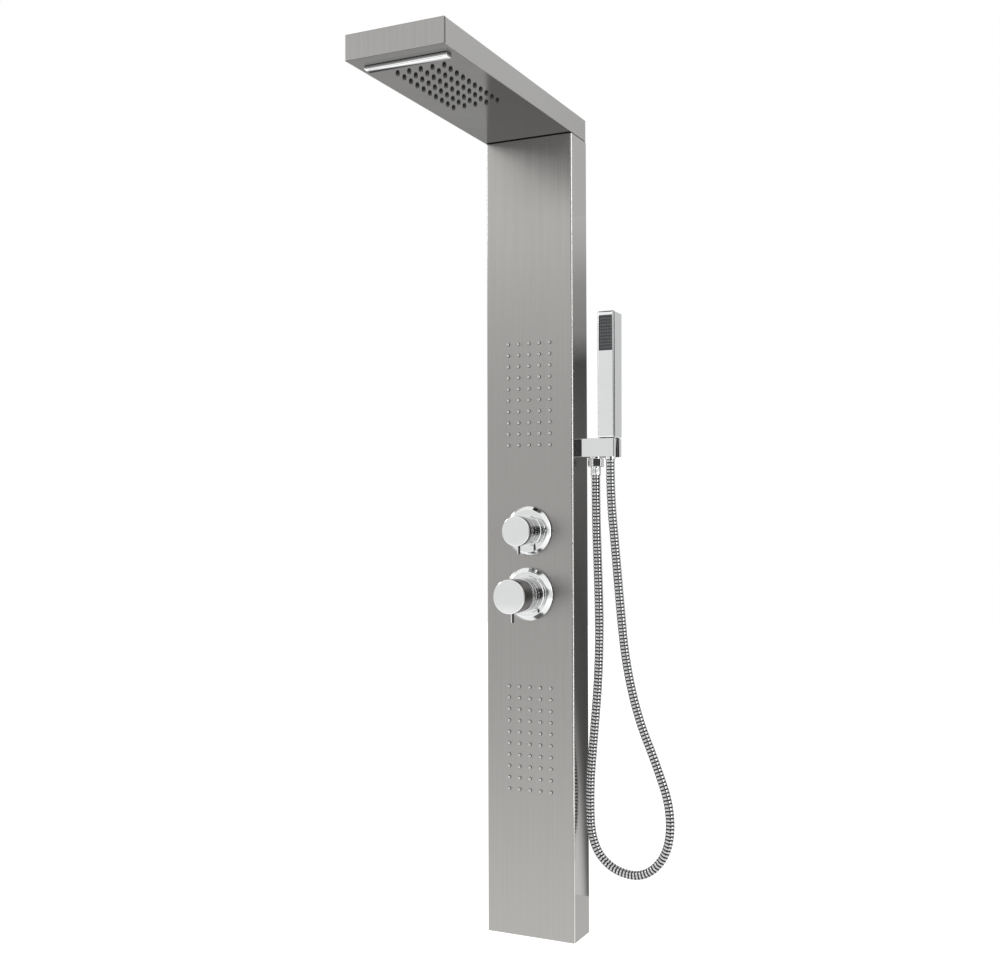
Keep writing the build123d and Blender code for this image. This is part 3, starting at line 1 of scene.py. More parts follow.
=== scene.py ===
# %% [markdown]
# # A rainfall shower column, finished in Blender
#
# A shower column is a folded steel case that hangs on a bathroom wall. An arm on its top end
# holds the rain spray and the waterfall outlet, two groups of jets spray from its front, and a
# mixer knob and a diverter knob sit between them. A hand shower stands in a holder on its side,
# with a ribbed metal hose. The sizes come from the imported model, which this script loads first.
# The script then gives each piece its real surface, and replaces the pieces whose detail is
# finer than a drawing needs: the hose, the knobs, the nozzles and the hand shower.

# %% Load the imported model
import math

import bmesh
import bpy
from mathutils import Matrix, Vector
from mathutils.kdtree import KDTree


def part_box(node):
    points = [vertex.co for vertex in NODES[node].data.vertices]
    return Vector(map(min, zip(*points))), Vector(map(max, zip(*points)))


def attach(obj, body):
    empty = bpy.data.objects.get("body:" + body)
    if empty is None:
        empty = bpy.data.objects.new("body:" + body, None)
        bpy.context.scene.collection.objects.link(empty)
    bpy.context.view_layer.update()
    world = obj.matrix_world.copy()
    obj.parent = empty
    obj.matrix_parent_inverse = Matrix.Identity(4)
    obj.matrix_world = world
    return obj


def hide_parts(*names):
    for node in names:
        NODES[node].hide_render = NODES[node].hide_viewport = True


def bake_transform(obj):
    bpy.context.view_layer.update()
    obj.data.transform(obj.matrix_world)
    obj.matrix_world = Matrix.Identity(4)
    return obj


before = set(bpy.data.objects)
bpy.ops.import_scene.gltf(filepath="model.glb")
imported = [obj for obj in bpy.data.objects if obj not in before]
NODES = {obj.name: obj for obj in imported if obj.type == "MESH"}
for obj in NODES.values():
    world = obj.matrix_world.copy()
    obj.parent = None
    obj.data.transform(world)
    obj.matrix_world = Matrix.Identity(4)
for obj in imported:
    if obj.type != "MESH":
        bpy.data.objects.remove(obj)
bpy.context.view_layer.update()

MM = 0.001

# %% [markdown]
# ## The camera
#
# A product is drawn true when the camera stands well back: the upright edges then stay almost
# parallel. This camera stands about two metres away, to the right of the column and at its
# middle height, so the front, the right side and the arm's underside all show. A camera looks
# along its own -Z, so it is first tipped up by a right angle and then turned to the left.

# %% Place the camera
CAMERA_PLACE = (0.8249, -1.8697, 0.0184)
CAMERA_TURN = math.radians(25.838)
CAMERA_TILT = math.radians(1.448)
CAMERA_ROLL = math.radians(-0.149)
LENS_LENGTH = 45.116
SENSOR_WIDTH = 36.0


def make_camera():
    camera = bpy.data.objects.new("camera", bpy.data.cameras.new("camera"))
    bpy.context.scene.collection.objects.link(camera)
    turn = Matrix.Rotation(CAMERA_TURN, 4, "Z")
    tilt = Matrix.Rotation(math.pi / 2 + CAMERA_TILT, 4, "X")
    roll = Matrix.Rotation(CAMERA_ROLL, 4, "Z")
    camera.matrix_world = Matrix.Translation(CAMERA_PLACE) @ turn @ tilt @ roll
    camera.data.lens = LENS_LENGTH
    camera.data.sensor_width = SENSOR_WIDTH
    camera.data.clip_end = 50.0
    return camera


bpy.context.scene.camera = make_camera()
bpy.context.scene.view_settings.view_transform = "Standard"
print("camera stands", round(Vector(CAMERA_PLACE).length, 2), "m from the column's middle")

# %% [markdown]
# ## Small tools for materials
#
# Each finish below is one Principled shader with a few patterns plugged into it. A pattern reads
# Object coordinates, which are metres on the piece itself, so a scratch has its real size and
# stays on the piece when the piece moves. Stretching the coordinates is what turns a round
# noise into a brushed grain: a large scale across the grain, and a small one along it.

# %% Helpers for patterns
def new_material(name, metallic=0.0, **fixed):
    """A Principled material; fixed names the sockets that are the same all over."""
    material = bpy.data.materials.new(name)
    material.use_nodes = True
    shader = material.node_tree.nodes["Principled BSDF"]
    shader.inputs["Metallic"].default_value = metallic
    for socket, value in fixed.items():
        shader.inputs[socket.replace("_", " ")].default_value = value
    return material, material.node_tree, shader


def add(tree, kind, **settings):
    made = tree.nodes.new(kind)
    for name, value in settings.items():
        setattr(made, name, value)
    return made


def coordinates(tree, scale=(1, 1, 1), place=(0, 0, 0)):
    """Object coordinates, stretched."""
    source = add(tree, "ShaderNodeTexCoord")
    mapping = add(tree, "ShaderNodeMapping")
    mapping.inputs["Location"].default_value = place
    mapping.inputs["Scale"].default_value = scale
    tree.links.new(source.outputs["Object"], mapping.inputs["Vector"])
    return mapping.outputs["Vector"]


def object_axes(tree, output="Object"):
    """X, Y and Z of one of the object's own coordinates."""
    source = add(tree, "ShaderNodeTexCoord")
    split = add(tree, "ShaderNodeSeparateXYZ")
    tree.links.new(source.outputs[output], split.inputs["Vector"])
    return split.outputs


def noise(tree, scale, detail=2.0, roughness=0.5, place=(0, 0, 0)):
    """A cloudy pattern from 0 to 1, with its own scale along each axis."""
    made = add(tree, "ShaderNodeTexNoise")
    made.inputs["Scale"].default_value = 1.0
    made.inputs["Detail"].default_value = detail
    made.inputs["Roughness"].default_value = roughness
    tree.links.new(coordinates(tree, scale, place), made.inputs["Vector"])
    return made.outputs["Fac"]


def ramp(tree, factor, *stops):
    """Colours along a factor; a stop is (position, grey or colour)."""
    made = add(tree, "ShaderNodeValToRGB")
    elements = made.color_ramp.elements
    while len(elements) < len(stops):
        elements.new(0.5)
    for element, (position, colour) in zip(elements, stops):
        element.position = position
        if isinstance(colour, (int, float)):
            colour = (colour, colour, colour)
        element.color = (*colour, 1.0)
    tree.links.new(factor, made.inputs["Fac"])
    return made.outputs["Color"]


def spread(tree, factor, low, high, from_low=0.3, from_high=0.7):
    """A factor moved into another range, for roughness."""
    made = add(tree, "ShaderNodeMapRange")
    made.inputs["From Min"].default_value = from_low
    made.inputs["From Max"].default_value = from_high
    made.inputs["To Min"].default_value = low
    made.inputs["To Max"].default_value = high
    tree.links.new(factor, made.inputs["Value"])
    return made.outputs["Result"]


def calculate(tree, operation, a, b):
    made = add(tree, "ShaderNodeMath", operation=operation)
    for socket, value in zip(made.inputs, (a, b)):
        if isinstance(value, (int, float)):
            socket.default_value = value
        else:
            tree.links.new(value, socket)
    return made.outputs["Value"]


def mix_colours(tree, factor, first, second):
    made = add(tree, "ShaderNodeMix", data_type="RGBA")
    sockets = [made.inputs["Factor"], *[s for s in made.inputs if s.type == "RGBA"]]
    for socket, value in zip(sockets, (factor, first, second)):
        if isinstance(value, (int, float, tuple)):
            socket.default_value = value
        else:
            tree.links.new(value, socket)
    return [s for s in made.outputs if s.type == "RGBA"][0]


def dress(tree, shader, colour, roughness):
    """Plugs a finish's colour and roughness into its shader."""
    tree.links.new(colour, shader.inputs["Base Color"])
    tree.links.new(roughness, shader.inputs["Roughness"])


def bump(tree, shader, height, strength, distance):
    made = add(tree, "ShaderNodeBump")
    made.inputs["Strength"].default_value = strength
    made.inputs["Distance"].default_value = distance
    tree.links.new(height, made.inputs["Height"])
    tree.links.new(made.outputs["Normal"], shader.inputs["Normal"])


def box_corners(node):
    """Two opposite corners of a drawn piece's box, the lower one first."""
    return [Vector(corner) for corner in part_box(node)]


FINISHES = {}
print("pattern helpers ready")

# %% [markdown]
# ## Brushed steel, with polished returns
#
# The case is one sheet of stainless steel. Its front is brushed from top to bottom: the belt
# leaves thousands of fine scratches, so reflections smear sideways and stay crisp up and down.
# The two side returns were left as bright as the sheet came from the mill. One material does
# both: the object's own normal tells front from side, and it drives roughness and colour.
# A bitmap of scratches would repeat and go soft close up; a stretched noise never does. The
# arm is drawn with a shallow groove down each front corner, and a strip of painted shade close
# behind its front makes that line wide enough to see.

# %% Brushed steel
GRAIN_WIDE = 0.0026
GRAIN_FINE = 0.0006
GRAIN_LENGTH = 0.35
PAINTED_SEAM_SHADE = (0.03, 0.03, 0.03, 1.0)


def shade(colour, share):
    return tuple(share * part for part in colour)


def facing(tree, axis):
    """How squarely a surface faces along one of the object's own axes, 0 to 1."""
    return calculate(tree, "ABSOLUTE", object_axes(tree, "Normal")[axis], 0.0)


def line_across(tree, axis, low, high):
    """1 where the object's own coordinate lies between two values, 0 outside them."""
    along = spread(tree, object_axes(tree)[axis], 0.0, 1.0, low, high)
    return ramp(tree, along, (0.0, 0.0), (0.12, 1.0), (0.88, 1.0), (1.0, 0.0))


def brushed_steel(name, side_roughness, side_colour, front_colour, shade_strip=None):
    """Steel with an upright grain on its front and a brighter finish on its sides."""
    material, tree, shader = new_material(name, metallic=1.0, Anisotropic=0.8)
    across = (1 / GRAIN_WIDE, 1 / GRAIN_WIDE, 1 / GRAIN_LENGTH)
    finely = (1 / GRAIN_FINE, 1 / GRAIN_FINE, 1.5 / GRAIN_LENGTH)
    wide = noise(tree, across, detail=3.0, roughness=0.65)
    fine = noise(tree, finely, detail=2.0, place=(3.0, 5.0, 1.0))
    cloud = noise(tree, (3.0, 3.0, 2.0), detail=1.0, place=(7.0, 2.0, 4.0))
    side = ramp(tree, facing(tree, "X"), (0.35, 0.0), (0.7, 1.0))
    streaks = mix_colours(tree, 0.35, wide, fine)
    front = ramp(
        tree, streaks, (0.25, shade(front_colour, 0.90)), (0.5, front_colour),
        (0.78, shade(front_colour, 1.10)),
    )
    flank = ramp(tree, cloud, (0.3, shade(side_colour, 0.95)), (0.7, side_colour))
    steel = mix_colours(tree, side, front, flank)
    # A strip of painted shade just behind the arm's front corners, beside the drawn groove.
    if shade_strip:
        steel = mix_colours(tree, line_across(tree, "Y", *shade_strip), steel, PAINTED_SEAM_SHADE)
    tree.links.new(steel, shader.inputs["Base Color"])
    dull = spread(tree, streaks, 0.26, 0.36)
    bright = spread(tree, cloud, side_roughness, side_roughness + 0.03)
    tree.links.new(mix_colours(tree, side, dull, bright), shader.inputs["Roughness"])
    tangent = add(tree, "ShaderNodeTangent", direction_type="RADIAL", axis="Z")
    tree.links.new(tangent.outputs["Tangent"], shader.inputs["Tangent"])
    quiet = calculate(tree, "SUBTRACT", 1.0, side)
    bump(tree, shader, calculate(tree, "MULTIPLY", streaks, quiet), 0.30, 0.00025)
    return material


STEEL_GREY = (0.435, 0.425, 0.412)
SIDE_GREY = (0.64, 0.63, 0.612)
FINISHES["column_shell"] = brushed_steel("brushed_steel_case", 0.10, SIDE_GREY, STEEL_GREY)
ARM_GREY = (0.380, 0.372, 0.362)
ARM_SIDE_GREY = (0.555, 0.55, 0.54)
ARM_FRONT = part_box("arm_shell")[0][1]
# Where the strip of painted shade lies: 0.6 to 2.8 mm behind the arm's front.
CORNER_SHADE_STRIP = (ARM_FRONT + 0.6 * MM, ARM_FRONT + 2.8 * MM)
FINISHES["arm_shell"] = brushed_steel(
    "brushed_steel_arm", 0.24, ARM_SIDE_GREY, ARM_GREY, shade_strip=CORNER_SHADE_STRIP,
)
print("grain is", GRAIN_WIDE / MM, "and", GRAIN_FINE / MM, "mm wide")

# %% [markdown]
# ## Polished plate, chrome and the rest of the metals
#
# Polished and plated metals differ in colour, in how sharp their reflections are, and in what
# spoils them: a rolled plate has a faint ripple, chrome has wiping marks, galvanised steel has
# spangle, and a casting is grainy. One function makes them all, because those differences are
# only numbers and one pattern.

# %% Plain metals
def metal(name, colour, roughness, uneven, pattern_scale, height=0.0, spangle=False):
    """A metal whose colour, roughness and surface vary with one pattern."""
    material, tree, shader = new_material(name, metallic=1.0)
    if spangle:
        cells = add(tree, "ShaderNodeTexVoronoi")
        tree.links.new(coordinates(tree, (pattern_scale,) * 3), cells.inputs["Vector"])
        cells.inputs["Scale"].default_value = 1.0
        grey = add(tree, "ShaderNodeRGBToBW")
        tree.links.new(cells.outputs["Color"], grey.inputs["Color"])
        pattern = grey.outputs["Val"]
    else:
        pattern = noise(tree, (pattern_scale,) * 3, detail=4.0, roughness=0.6)
    uneven_colour = ramp(tree, pattern, (0.3, shade(colour, 1 - uneven)), (0.7, colour))
    tree.links.new(uneven_colour, shader.inputs["Base Color"])
    low, high = roughness
    tree.links.new(spread(tree, pattern, low, high), shader.inputs["Roughness"])
    if height:
        bump(tree, shader, pattern, 0.4, height)
    return material


CHROME = metal("chrome", (0.90, 0.905, 0.91), (0.035, 0.075), 0.03, 60.0)
POLISHED_PLATE = metal("polished_plate", (0.100, 0.097, 0.093), (0.12, 0.17), 0.05, 14.0)
GALVANISED = metal(
    "galvanised_steel", (0.62, 0.64, 0.66), (0.32, 0.5), 0.25, 90.0, spangle=True,
)
ZINC = metal("zinc_plated_steel", (0.70, 0.69, 0.64), (0.22, 0.34), 0.12, 700.0, 0.00003)
BRASS = metal("cast_brass", (0.80, 0.60, 0.32), (0.26, 0.42), 0.15, 900.0, 0.00012)
COPPER = metal("copper_pipe", (0.86, 0.47, 0.33), (0.18, 0.32), 0.16, 160.0)
print("plain metals ready")

# %% [markdown]
# ## Chrome and hose steel with painted dark places
#
# Chrome in a bright room is mostly white, and it is its few dark lines that show its shape. Some
# come from real gaps, others from a dark thing across the room. Waiting for a reflection to fall
# on a part two millimetres wide is chancy, so four narrow places are painted dark instead: a
# painted reflection line behind the hand shower's front corners, another on the holder's end,
# painted shade inside its socket, and a painted reflection on one flank of each lever. Each is
# placed by the piece's own coordinates, so it stays put when the piece moves. The hose's grooves
# get painted shade from an attribute, because they follow its bends.

# %% Chrome with a painted dark band
PALE_CHROME = ((0.875, 0.88, 0.885), (0.90, 0.905, 0.91))
HOLDER_CHROME = ((0.84, 0.845, 0.85), (0.865, 0.87, 0.875))
# Painted dark: for the painted reflection lines on chrome, and for painted shade in the holder's
# socket.
PAINTED_REFLECTION_AND_SHADE = (0.05, 0.05, 0.052, 1.0)
# Painted shade for the hose's grooves.
GROOVE_PAINTED_SHADE = (0.018, 0.018, 0.018, 1.0)
SOCKET_RADIUS = 10.6 * MM
HALF_SLOT = 7.5 * MM
SLOT_FALL = 10.0


def wiping_marks(tree, dim, bright):
    """The cloudy marks that wiping leaves on chrome, and the colour that they give it."""
    cloud = noise(tree, (60.0, 60.0, 60.0), detail=4.0, roughness=0.6)
    return cloud, ramp(tree, cloud, (0.3, dim), (0.7, bright))


def banded_chrome(name, axis, low, high):
    """Chrome with one painted dark band, a painted reflection, between two places on an axis."""
    material, tree, shader = new_material(name, metallic=1.0)
    cloud, plating = wiping_marks(tree, *PALE_CHROME)
    band = line_across(tree, axis, low, high)
    dress(
        tree, shader, mix_colours(tree, band, plating, PAINTED_REFLECTION_AND_SHADE),
        spread(tree, cloud, 0.035, 0.075),
    )
    return material


def handle_chrome():
    front = box_corners("hand_shower_body")[0].y
    # A painted dark reflection line just behind the handle's front corners.
    return banded_chrome("parted_chrome", "Y", front + 0.7 * MM, front + 3.4 * MM)


def lever_chrome(node):
    low, high = box_corners(node)
    middle = (low.x + high.x) / 2
    # One flank of each lever is painted dark, a painted reflection of a dark side of the room.
    return banded_chrome(node + "_chrome", "X", middle + 0.1 * MM, high.x + 1.0 * MM)


def from_socket(tree):
    """Distance from the socket's axis, measured so that the hose slot counts as inside it."""
    low, high = box_corners("hand_shower_inlet")
    middle = (low + high) / 2
    place = object_axes(tree)
    inboard = calculate(tree, "SUBTRACT", middle.x, place["X"])
    beside = calculate(tree, "SUBTRACT", middle.y, place["Y"])
    squares = [calculate(tree, "MULTIPLY", leg, leg) for leg in (inboard, beside)]
    from_axis = calculate(tree, "SQRT", calculate(tree, "ADD", *squares), 0.0)
    before_slot = calculate(tree, "MAXIMUM", inboard, 0.0)
    sideways = calculate(tree, "ABSOLUTE", beside, 0.0)
    from_slot = calculate(tree, "ADD", sideways, SOCKET_RADIUS - HALF_SLOT)
    past_slot = calculate(tree, "MULTIPLY", before_slot, SLOT_FALL)
    return calculate(tree, "MINIMUM", from_axis, calculate(tree, "ADD", from_slot, past_slot))


def socket_chrome():
    """Chrome for the holder, with painted shade inside its socket and a painted dark reflection
    line on its end.
    """
    material, tree, shader = new_material("holder_chrome", metallic=1.0)
    # Painted shade fills the socket and its slot, out to just past the socket's rim.
    rim = (SOCKET_RADIUS + 0.05 * MM, SOCKET_RADIUS + 0.3 * MM)
    open_air = spread(tree, from_socket(tree), 0.0, 1.0, *rim)
    cloud, plating = wiping_marks(tree, *HOLDER_CHROME)
    front = box_corners("hand_shower_holder")[0].y
    # A painted dark reflection line along the holder's end.
    edge = line_across(tree, "Y", front + 0.1 * MM, front + 1.5 * MM)
    chrome = mix_colours(tree, edge, plating, PAINTED_REFLECTION_AND_SHADE)
    dress(
        tree, shader, mix_colours(tree, open_air, PAINTED_REFLECTION_AND_SHADE, chrome),
        spread(tree, cloud, 0.04, 0.08),
    )
    return material


def hose_steel():
    """Bright wound steel with painted shade in its grooves; the sweep writes how deep each ring
    lies.
    """
    material, tree, shader = new_material("hose_steel", metallic=1.0)
    deep = add(tree, "ShaderNodeAttribute", attribute_name="groove").outputs["Fac"]
    pattern = noise(tree, (240.0, 240.0, 240.0), detail=4.0, roughness=0.6)
    crown = ramp(tree, pattern, (0.3, (0.60, 0.605, 0.61)), (0.7, (0.66, 0.665, 0.67)))
    # Painted shade in the grooves, darkest where a ring lies deepest.
    groove_shade = ramp(tree, deep, (0.04, 0.0), (0.34, 1.0))
    dress(
        tree, shader, mix_colours(tree, groove_shade, crown, GROOVE_PAINTED_SHADE),
        spread(tree, pattern, 0.09, 0.15),
    )
    return material


HANDLE_CHROME = handle_chrome()
HOSE_STEEL = hose_steel()
FINISHES["hand_shower_holder"] = socket_chrome()
for lever in ("mixer_lever", "diverter_lever"):
    FINISHES[lever] = lever_chrome(lever)
FINISHES["outlet_elbow"] = CHROME
FINISHES["hand_shower_inlet"] = CHROME
METAL_NODES = {
    "chrome": CHROME, "chrome_hose": HOSE_STEEL, "polished_stainless": POLISHED_PLATE,
    "galvanised_steel": GALVANISED, "zinc_fixings": ZINC, "brass": BRASS, "copper": COPPER,
}
print("metals:", ", ".join(sorted(METAL_NODES)))

# %% [markdown]
# ## Rubber, silicone, plastic and ceramic
#
# Moulded pieces are not metallic: their colour comes from inside and their gloss from a thin
# reflection on top. Silicone is soft and a little greasy, so its highlight is broad. Moulded
# plastic has a fine spark-eroded texture from its tool. The braided hoses get a woven pattern
# from two waves that cross, one leaning each way.

# %% Moulded pieces
def moulded(name, colour, roughness, grain, height):
    """A soft-glossed moulding with a fine even grain."""
    material, tree, shader = new_material(name)
    pattern = noise(tree, (grain,) * 3, detail=3.0)
    paler = tuple(min(1.0, c * 1.18 + 0.004) for c in colour)
    tree.links.new(ramp(tree, pattern, (0.3, colour), (0.75, paler)), shader.inputs["Base Color"])
    low, high = roughness
    tree.links.new(spread(tree, pattern, low, high), shader.inputs["Roughness"])
    bump(tree, shader, pattern, 0.35, height)
    return material


def jet_silicone():
    """Body jets: pale silicone where the flat tip shows, with painted shade dark round the neck.
    """
    material, tree, shader = new_material("jet_silicone")
    front = box_corners("column_shell")[0].y
    proud = calculate(tree, "SUBTRACT", front, object_axes(tree)["Y"])
    tip = spread(tree, proud, 0.0, 1.0, 1.4 * MM, 2.0 * MM)
    pattern = noise(tree, (900.0, 900.0, 900.0), detail=3.0)
    # The dark neck is painted shade, where the nozzle sinks into its hole in the plate.
    neck = ramp(tree, pattern, (0.3, (0.060, 0.059, 0.057)), (0.75, (0.080, 0.079, 0.076)))
    end = ramp(tree, pattern, (0.3, (0.52, 0.515, 0.50)), (0.75, (0.60, 0.595, 0.58)))
    dress(tree, shader, mix_colours(tree, tip, neck, end), spread(tree, pattern, 0.22, 0.34))
    bump(tree, shader, pattern, 0.35, 0.00004)
    return material


# colour, then the range of roughness, the grain's scale and its height
SILICONE = moulded("grey_silicone", (0.36, 0.355, 0.345), (0.22, 0.34), 900.0, 0.00004)
HAND_SILICONE = moulded(
    "hand_shower_silicone", (0.150, 0.152, 0.150), (0.3, 0.42), 900.0, 0.00003,
)
JET_SILICONE = jet_silicone()
DARK_SILICONE = moulded("dark_silicone", (0.022, 0.021, 0.02), (0.16, 0.24), 900.0, 0.00003)
BLACK_PLASTIC = moulded("black_moulding", (0.018, 0.018, 0.019), (0.4, 0.55), 1400.0, 0.00004)
WHITE_PLASTIC = moulded("white_moulding", (0.78, 0.78, 0.76), (0.3, 0.42), 1100.0, 0.00003)
FACE_PLASTIC = moulded("spray_face_moulding", (0.035, 0.038, 0.042), (0.24, 0.36), 1500.0, 0.00003)
CERAMIC = moulded("ceramic_disc", (0.86, 0.84, 0.79), (0.12, 0.2), 500.0, 0.00001)
RUBBER = moulded("black_rubber", (0.02, 0.02, 0.02), (0.55, 0.75), 1800.0, 0.00006)


def braid():
    """Steel braid over a rubber hose: two families of bright strands that cross."""
    material, tree, shader = new_material("steel_braid", metallic=1.0)
    bands = []
    for lean in (1, -1):
        wave = add(tree, "ShaderNodeTexWave", wave_type="BANDS", bands_direction="DIAGONAL")
        wave.inputs["Scale"].default_value = 1.0
        stretched = coordinates(tree, (lean * 260.0, lean * 260.0, 260.0))
        tree.links.new(stretched, wave.inputs["Vector"])
        bands.append(wave.outputs["Fac"])
    crossed = calculate(tree, "MAXIMUM", *bands)
    dress(
        tree, shader, ramp(tree, crossed, (0.2, 0.16), (0.8, 0.66)),
        spread(tree, crossed, 0.5, 0.26, 0.0, 1.0),
    )
    bump(tree, shader, crossed, 0.7, 0.0004)
    return material


MOULDED_NODES = {
    "grey_silicone": SILICONE, "black_plastic": BLACK_PLASTIC, "white_plastic": WHITE_PLASTIC,
    "dark_face_plastic": FACE_PLASTIC, "ceramic": CERAMIC, "black_rubber": RUBBER,
    "braided_hose": braid(),
}
print("mouldings:", ", ".join(sorted(MOULDED_NODES)))

# %% [markdown]
# ## Every drawn piece gets its finish
#
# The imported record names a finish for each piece. The shapes stay exactly as they were drawn:
# only the material in the object's slot changes.

# %% Paint the drawn pieces
def paint_drawn_pieces():
    by_slot = {**METAL_NODES, **MOULDED_NODES}
    for name, piece in NODES.items():
        for place in piece.material_slots:
            drawn = place.material.name.split(".")[0]
            place.material = FINISHES.get(name) or by_slot[drawn]


paint_drawn_pieces()
print("painted", len(NODES), "pieces")

# %% [markdown]
# ## The shower hose
#
# A shower hose is a rubber tube inside a wound steel strip, so its outside is a row of rounded
# ribs. It is one and a third metres long here: it leaves the outlet beside the holder, hangs in
# a long loop and climbs back into the hand shower. Its line is a smooth spline through a few
# listed points, because a hose under its own weight has no corners. The ribs could be
# hundreds of instanced rings, but one swept skin whose radius swells and shrinks along the way
# is closed, light and bends with the hose. Geometry Nodes does the sweep.

# %% The hose's line
HOSE_ROUTE = [
    (0.0985, -0.022, 0.075), (0.0985, -0.022, 0.015), (0.102, -0.0235, -0.075),
    (0.105, -0.025, -0.165), (0.1025, -0.026, -0.250), (0.095, -0.027, -0.335),
    (0.088, -0.028, -0.418), (0.091, -0.029, -0.500), (0.124, -0.030, -0.538),
    (0.178, -0.031, -0.545), (0.217, -0.030, -0.505), (0.222, -0.029, -0.438),
    (0.198, -0.028, -0.370), (0.168, -0.027, -0.300), (0.148, -0.026, -0.215),
    (0.139, -0.025, -0.125), (0.131, -0.024, -0.035), (0.123, -0.022, 0.045),
    (0.123, -0.022, 0.100),
]
HOSE_DIAMETER = 0.014


def smooth_line(name, route):
    """The points of a smooth spline along a route, a few millimetres apart."""
    curve = bpy.data.curves.new(name, "CURVE")
    curve.dimensions = "3D"
    spline = curve.splines.new("NURBS")
    spline.points.add(len(route) - 1)
    for point, place in zip(spline.points, route):
        point.co = (*place, 1.0)
    spline.order_u = 3
    spline.use_endpoint_u = True
    spline.resolution_u = 20
    holder = bpy.data.objects.new(name, curve)
    bpy.context.scene.collection.objects.link(holder)
    bpy.context.view_layer.update()
    line = bpy.data.meshes.new_from_object(holder)
    points = [vertex.co.copy() for vertex in line.vertices]
    bpy.data.objects.remove(holder)
    return points


def line_length(points):
    return sum((b - a).length for a, b in zip(points, points[1:]))


HOSE_LINE = smooth_line("hose_line", HOSE_ROUTE)
HOSE_LENGTH = line_length(HOSE_LINE)
print("hose line:", len(HOSE_LINE), "points,", round(HOSE_LENGTH, 3), "m long")

# %% [markdown]
# The node tree below takes that line, spaces it evenly, gives each point a radius and sweeps a
# circle along it. The radius follows one rule: a rounded rib every few millimetres, with a
# narrow groove between two ribs. The modifier is evaluated once and its result becomes a plain
# mesh, so nothing is left to compute when the hose bends.

# %% Tools for node trees
def new_tree(name, inputs):
    """A geometry tree with named inputs: (name, socket type, default)."""
    tree = bpy.data.node_groups.new(name, "GeometryNodeTree")
    tree.interface.new_socket("Geometry", in_out="INPUT", socket_type="NodeSocketGeometry")
    for label, kind, default in inputs:
        socket = tree.interface.new_socket(label, in_out="INPUT", socket_type=kind)
        if default is not None:
            socket.default_value = default
    tree.interface.new_socket("Geometry", in_out="OUTPUT", socket_type="NodeSocketGeometry")
    return tree, tree.nodes.new("NodeGroupInput"), tree.nodes.new("NodeGroupOutput")


def wire(tree, *pairs):
    for source, target in pairs:
        tree.links.new(source, target)


def finish_tree(tree, geometry, group_in, group_out):
    """Ends a tree: real geometry instead of instances, with its material."""
    real = tree.nodes.new("GeometryNodeRealizeInstances")
    paint = tree.nodes.new("GeometryNodeSetMaterial")
    wire(
        tree, (geometry, real.inputs["Geometry"]),
        (real.outputs["Geometry"], paint.inputs["Geometry"]),
        (group_in.outputs["Material"], paint.inputs["Material"]),
        (paint.outputs["Geometry"], group_out.inputs["Geometry"]),
    )


def grow(name, mesh, tree, **values):
    """Runs a tree on a mesh and returns the result as a plain object."""
    seed = bpy.data.objects.new(name + "_seed", mesh)
    bpy.context.scene.collection.objects.link(seed)
    modifier = seed.modifiers.new("grow", "NODES")
    modifier.node_group = tree
    for socket in tree.interface.items_tree:
        if socket.in_out == "INPUT" and socket.name.replace(" ", "_") in values:
            modifier[socket.identifier] = values[socket.name.replace(" ", "_")]
    bpy.context.view_layer.update()
    evaluated = seed.evaluated_get(bpy.context.evaluated_depsgraph_get())
    grown = bpy.data.meshes.new_from_object(evaluated)
    seed.modifiers.clear()
    bpy.data.objects.remove(seed)
    made = bpy.data.objects.new(name, grown)
    bpy.context.scene.collection.objects.link(made)
    return made


def count_faces(piece):
    return len(piece.data.polygons)


print("tree helpers ready")


# %% Sweep the ribbed hose
RIB_PITCH = 0.0054
RINGS_PER_RIB = 8
GROOVE_DEPTH = 0.0011


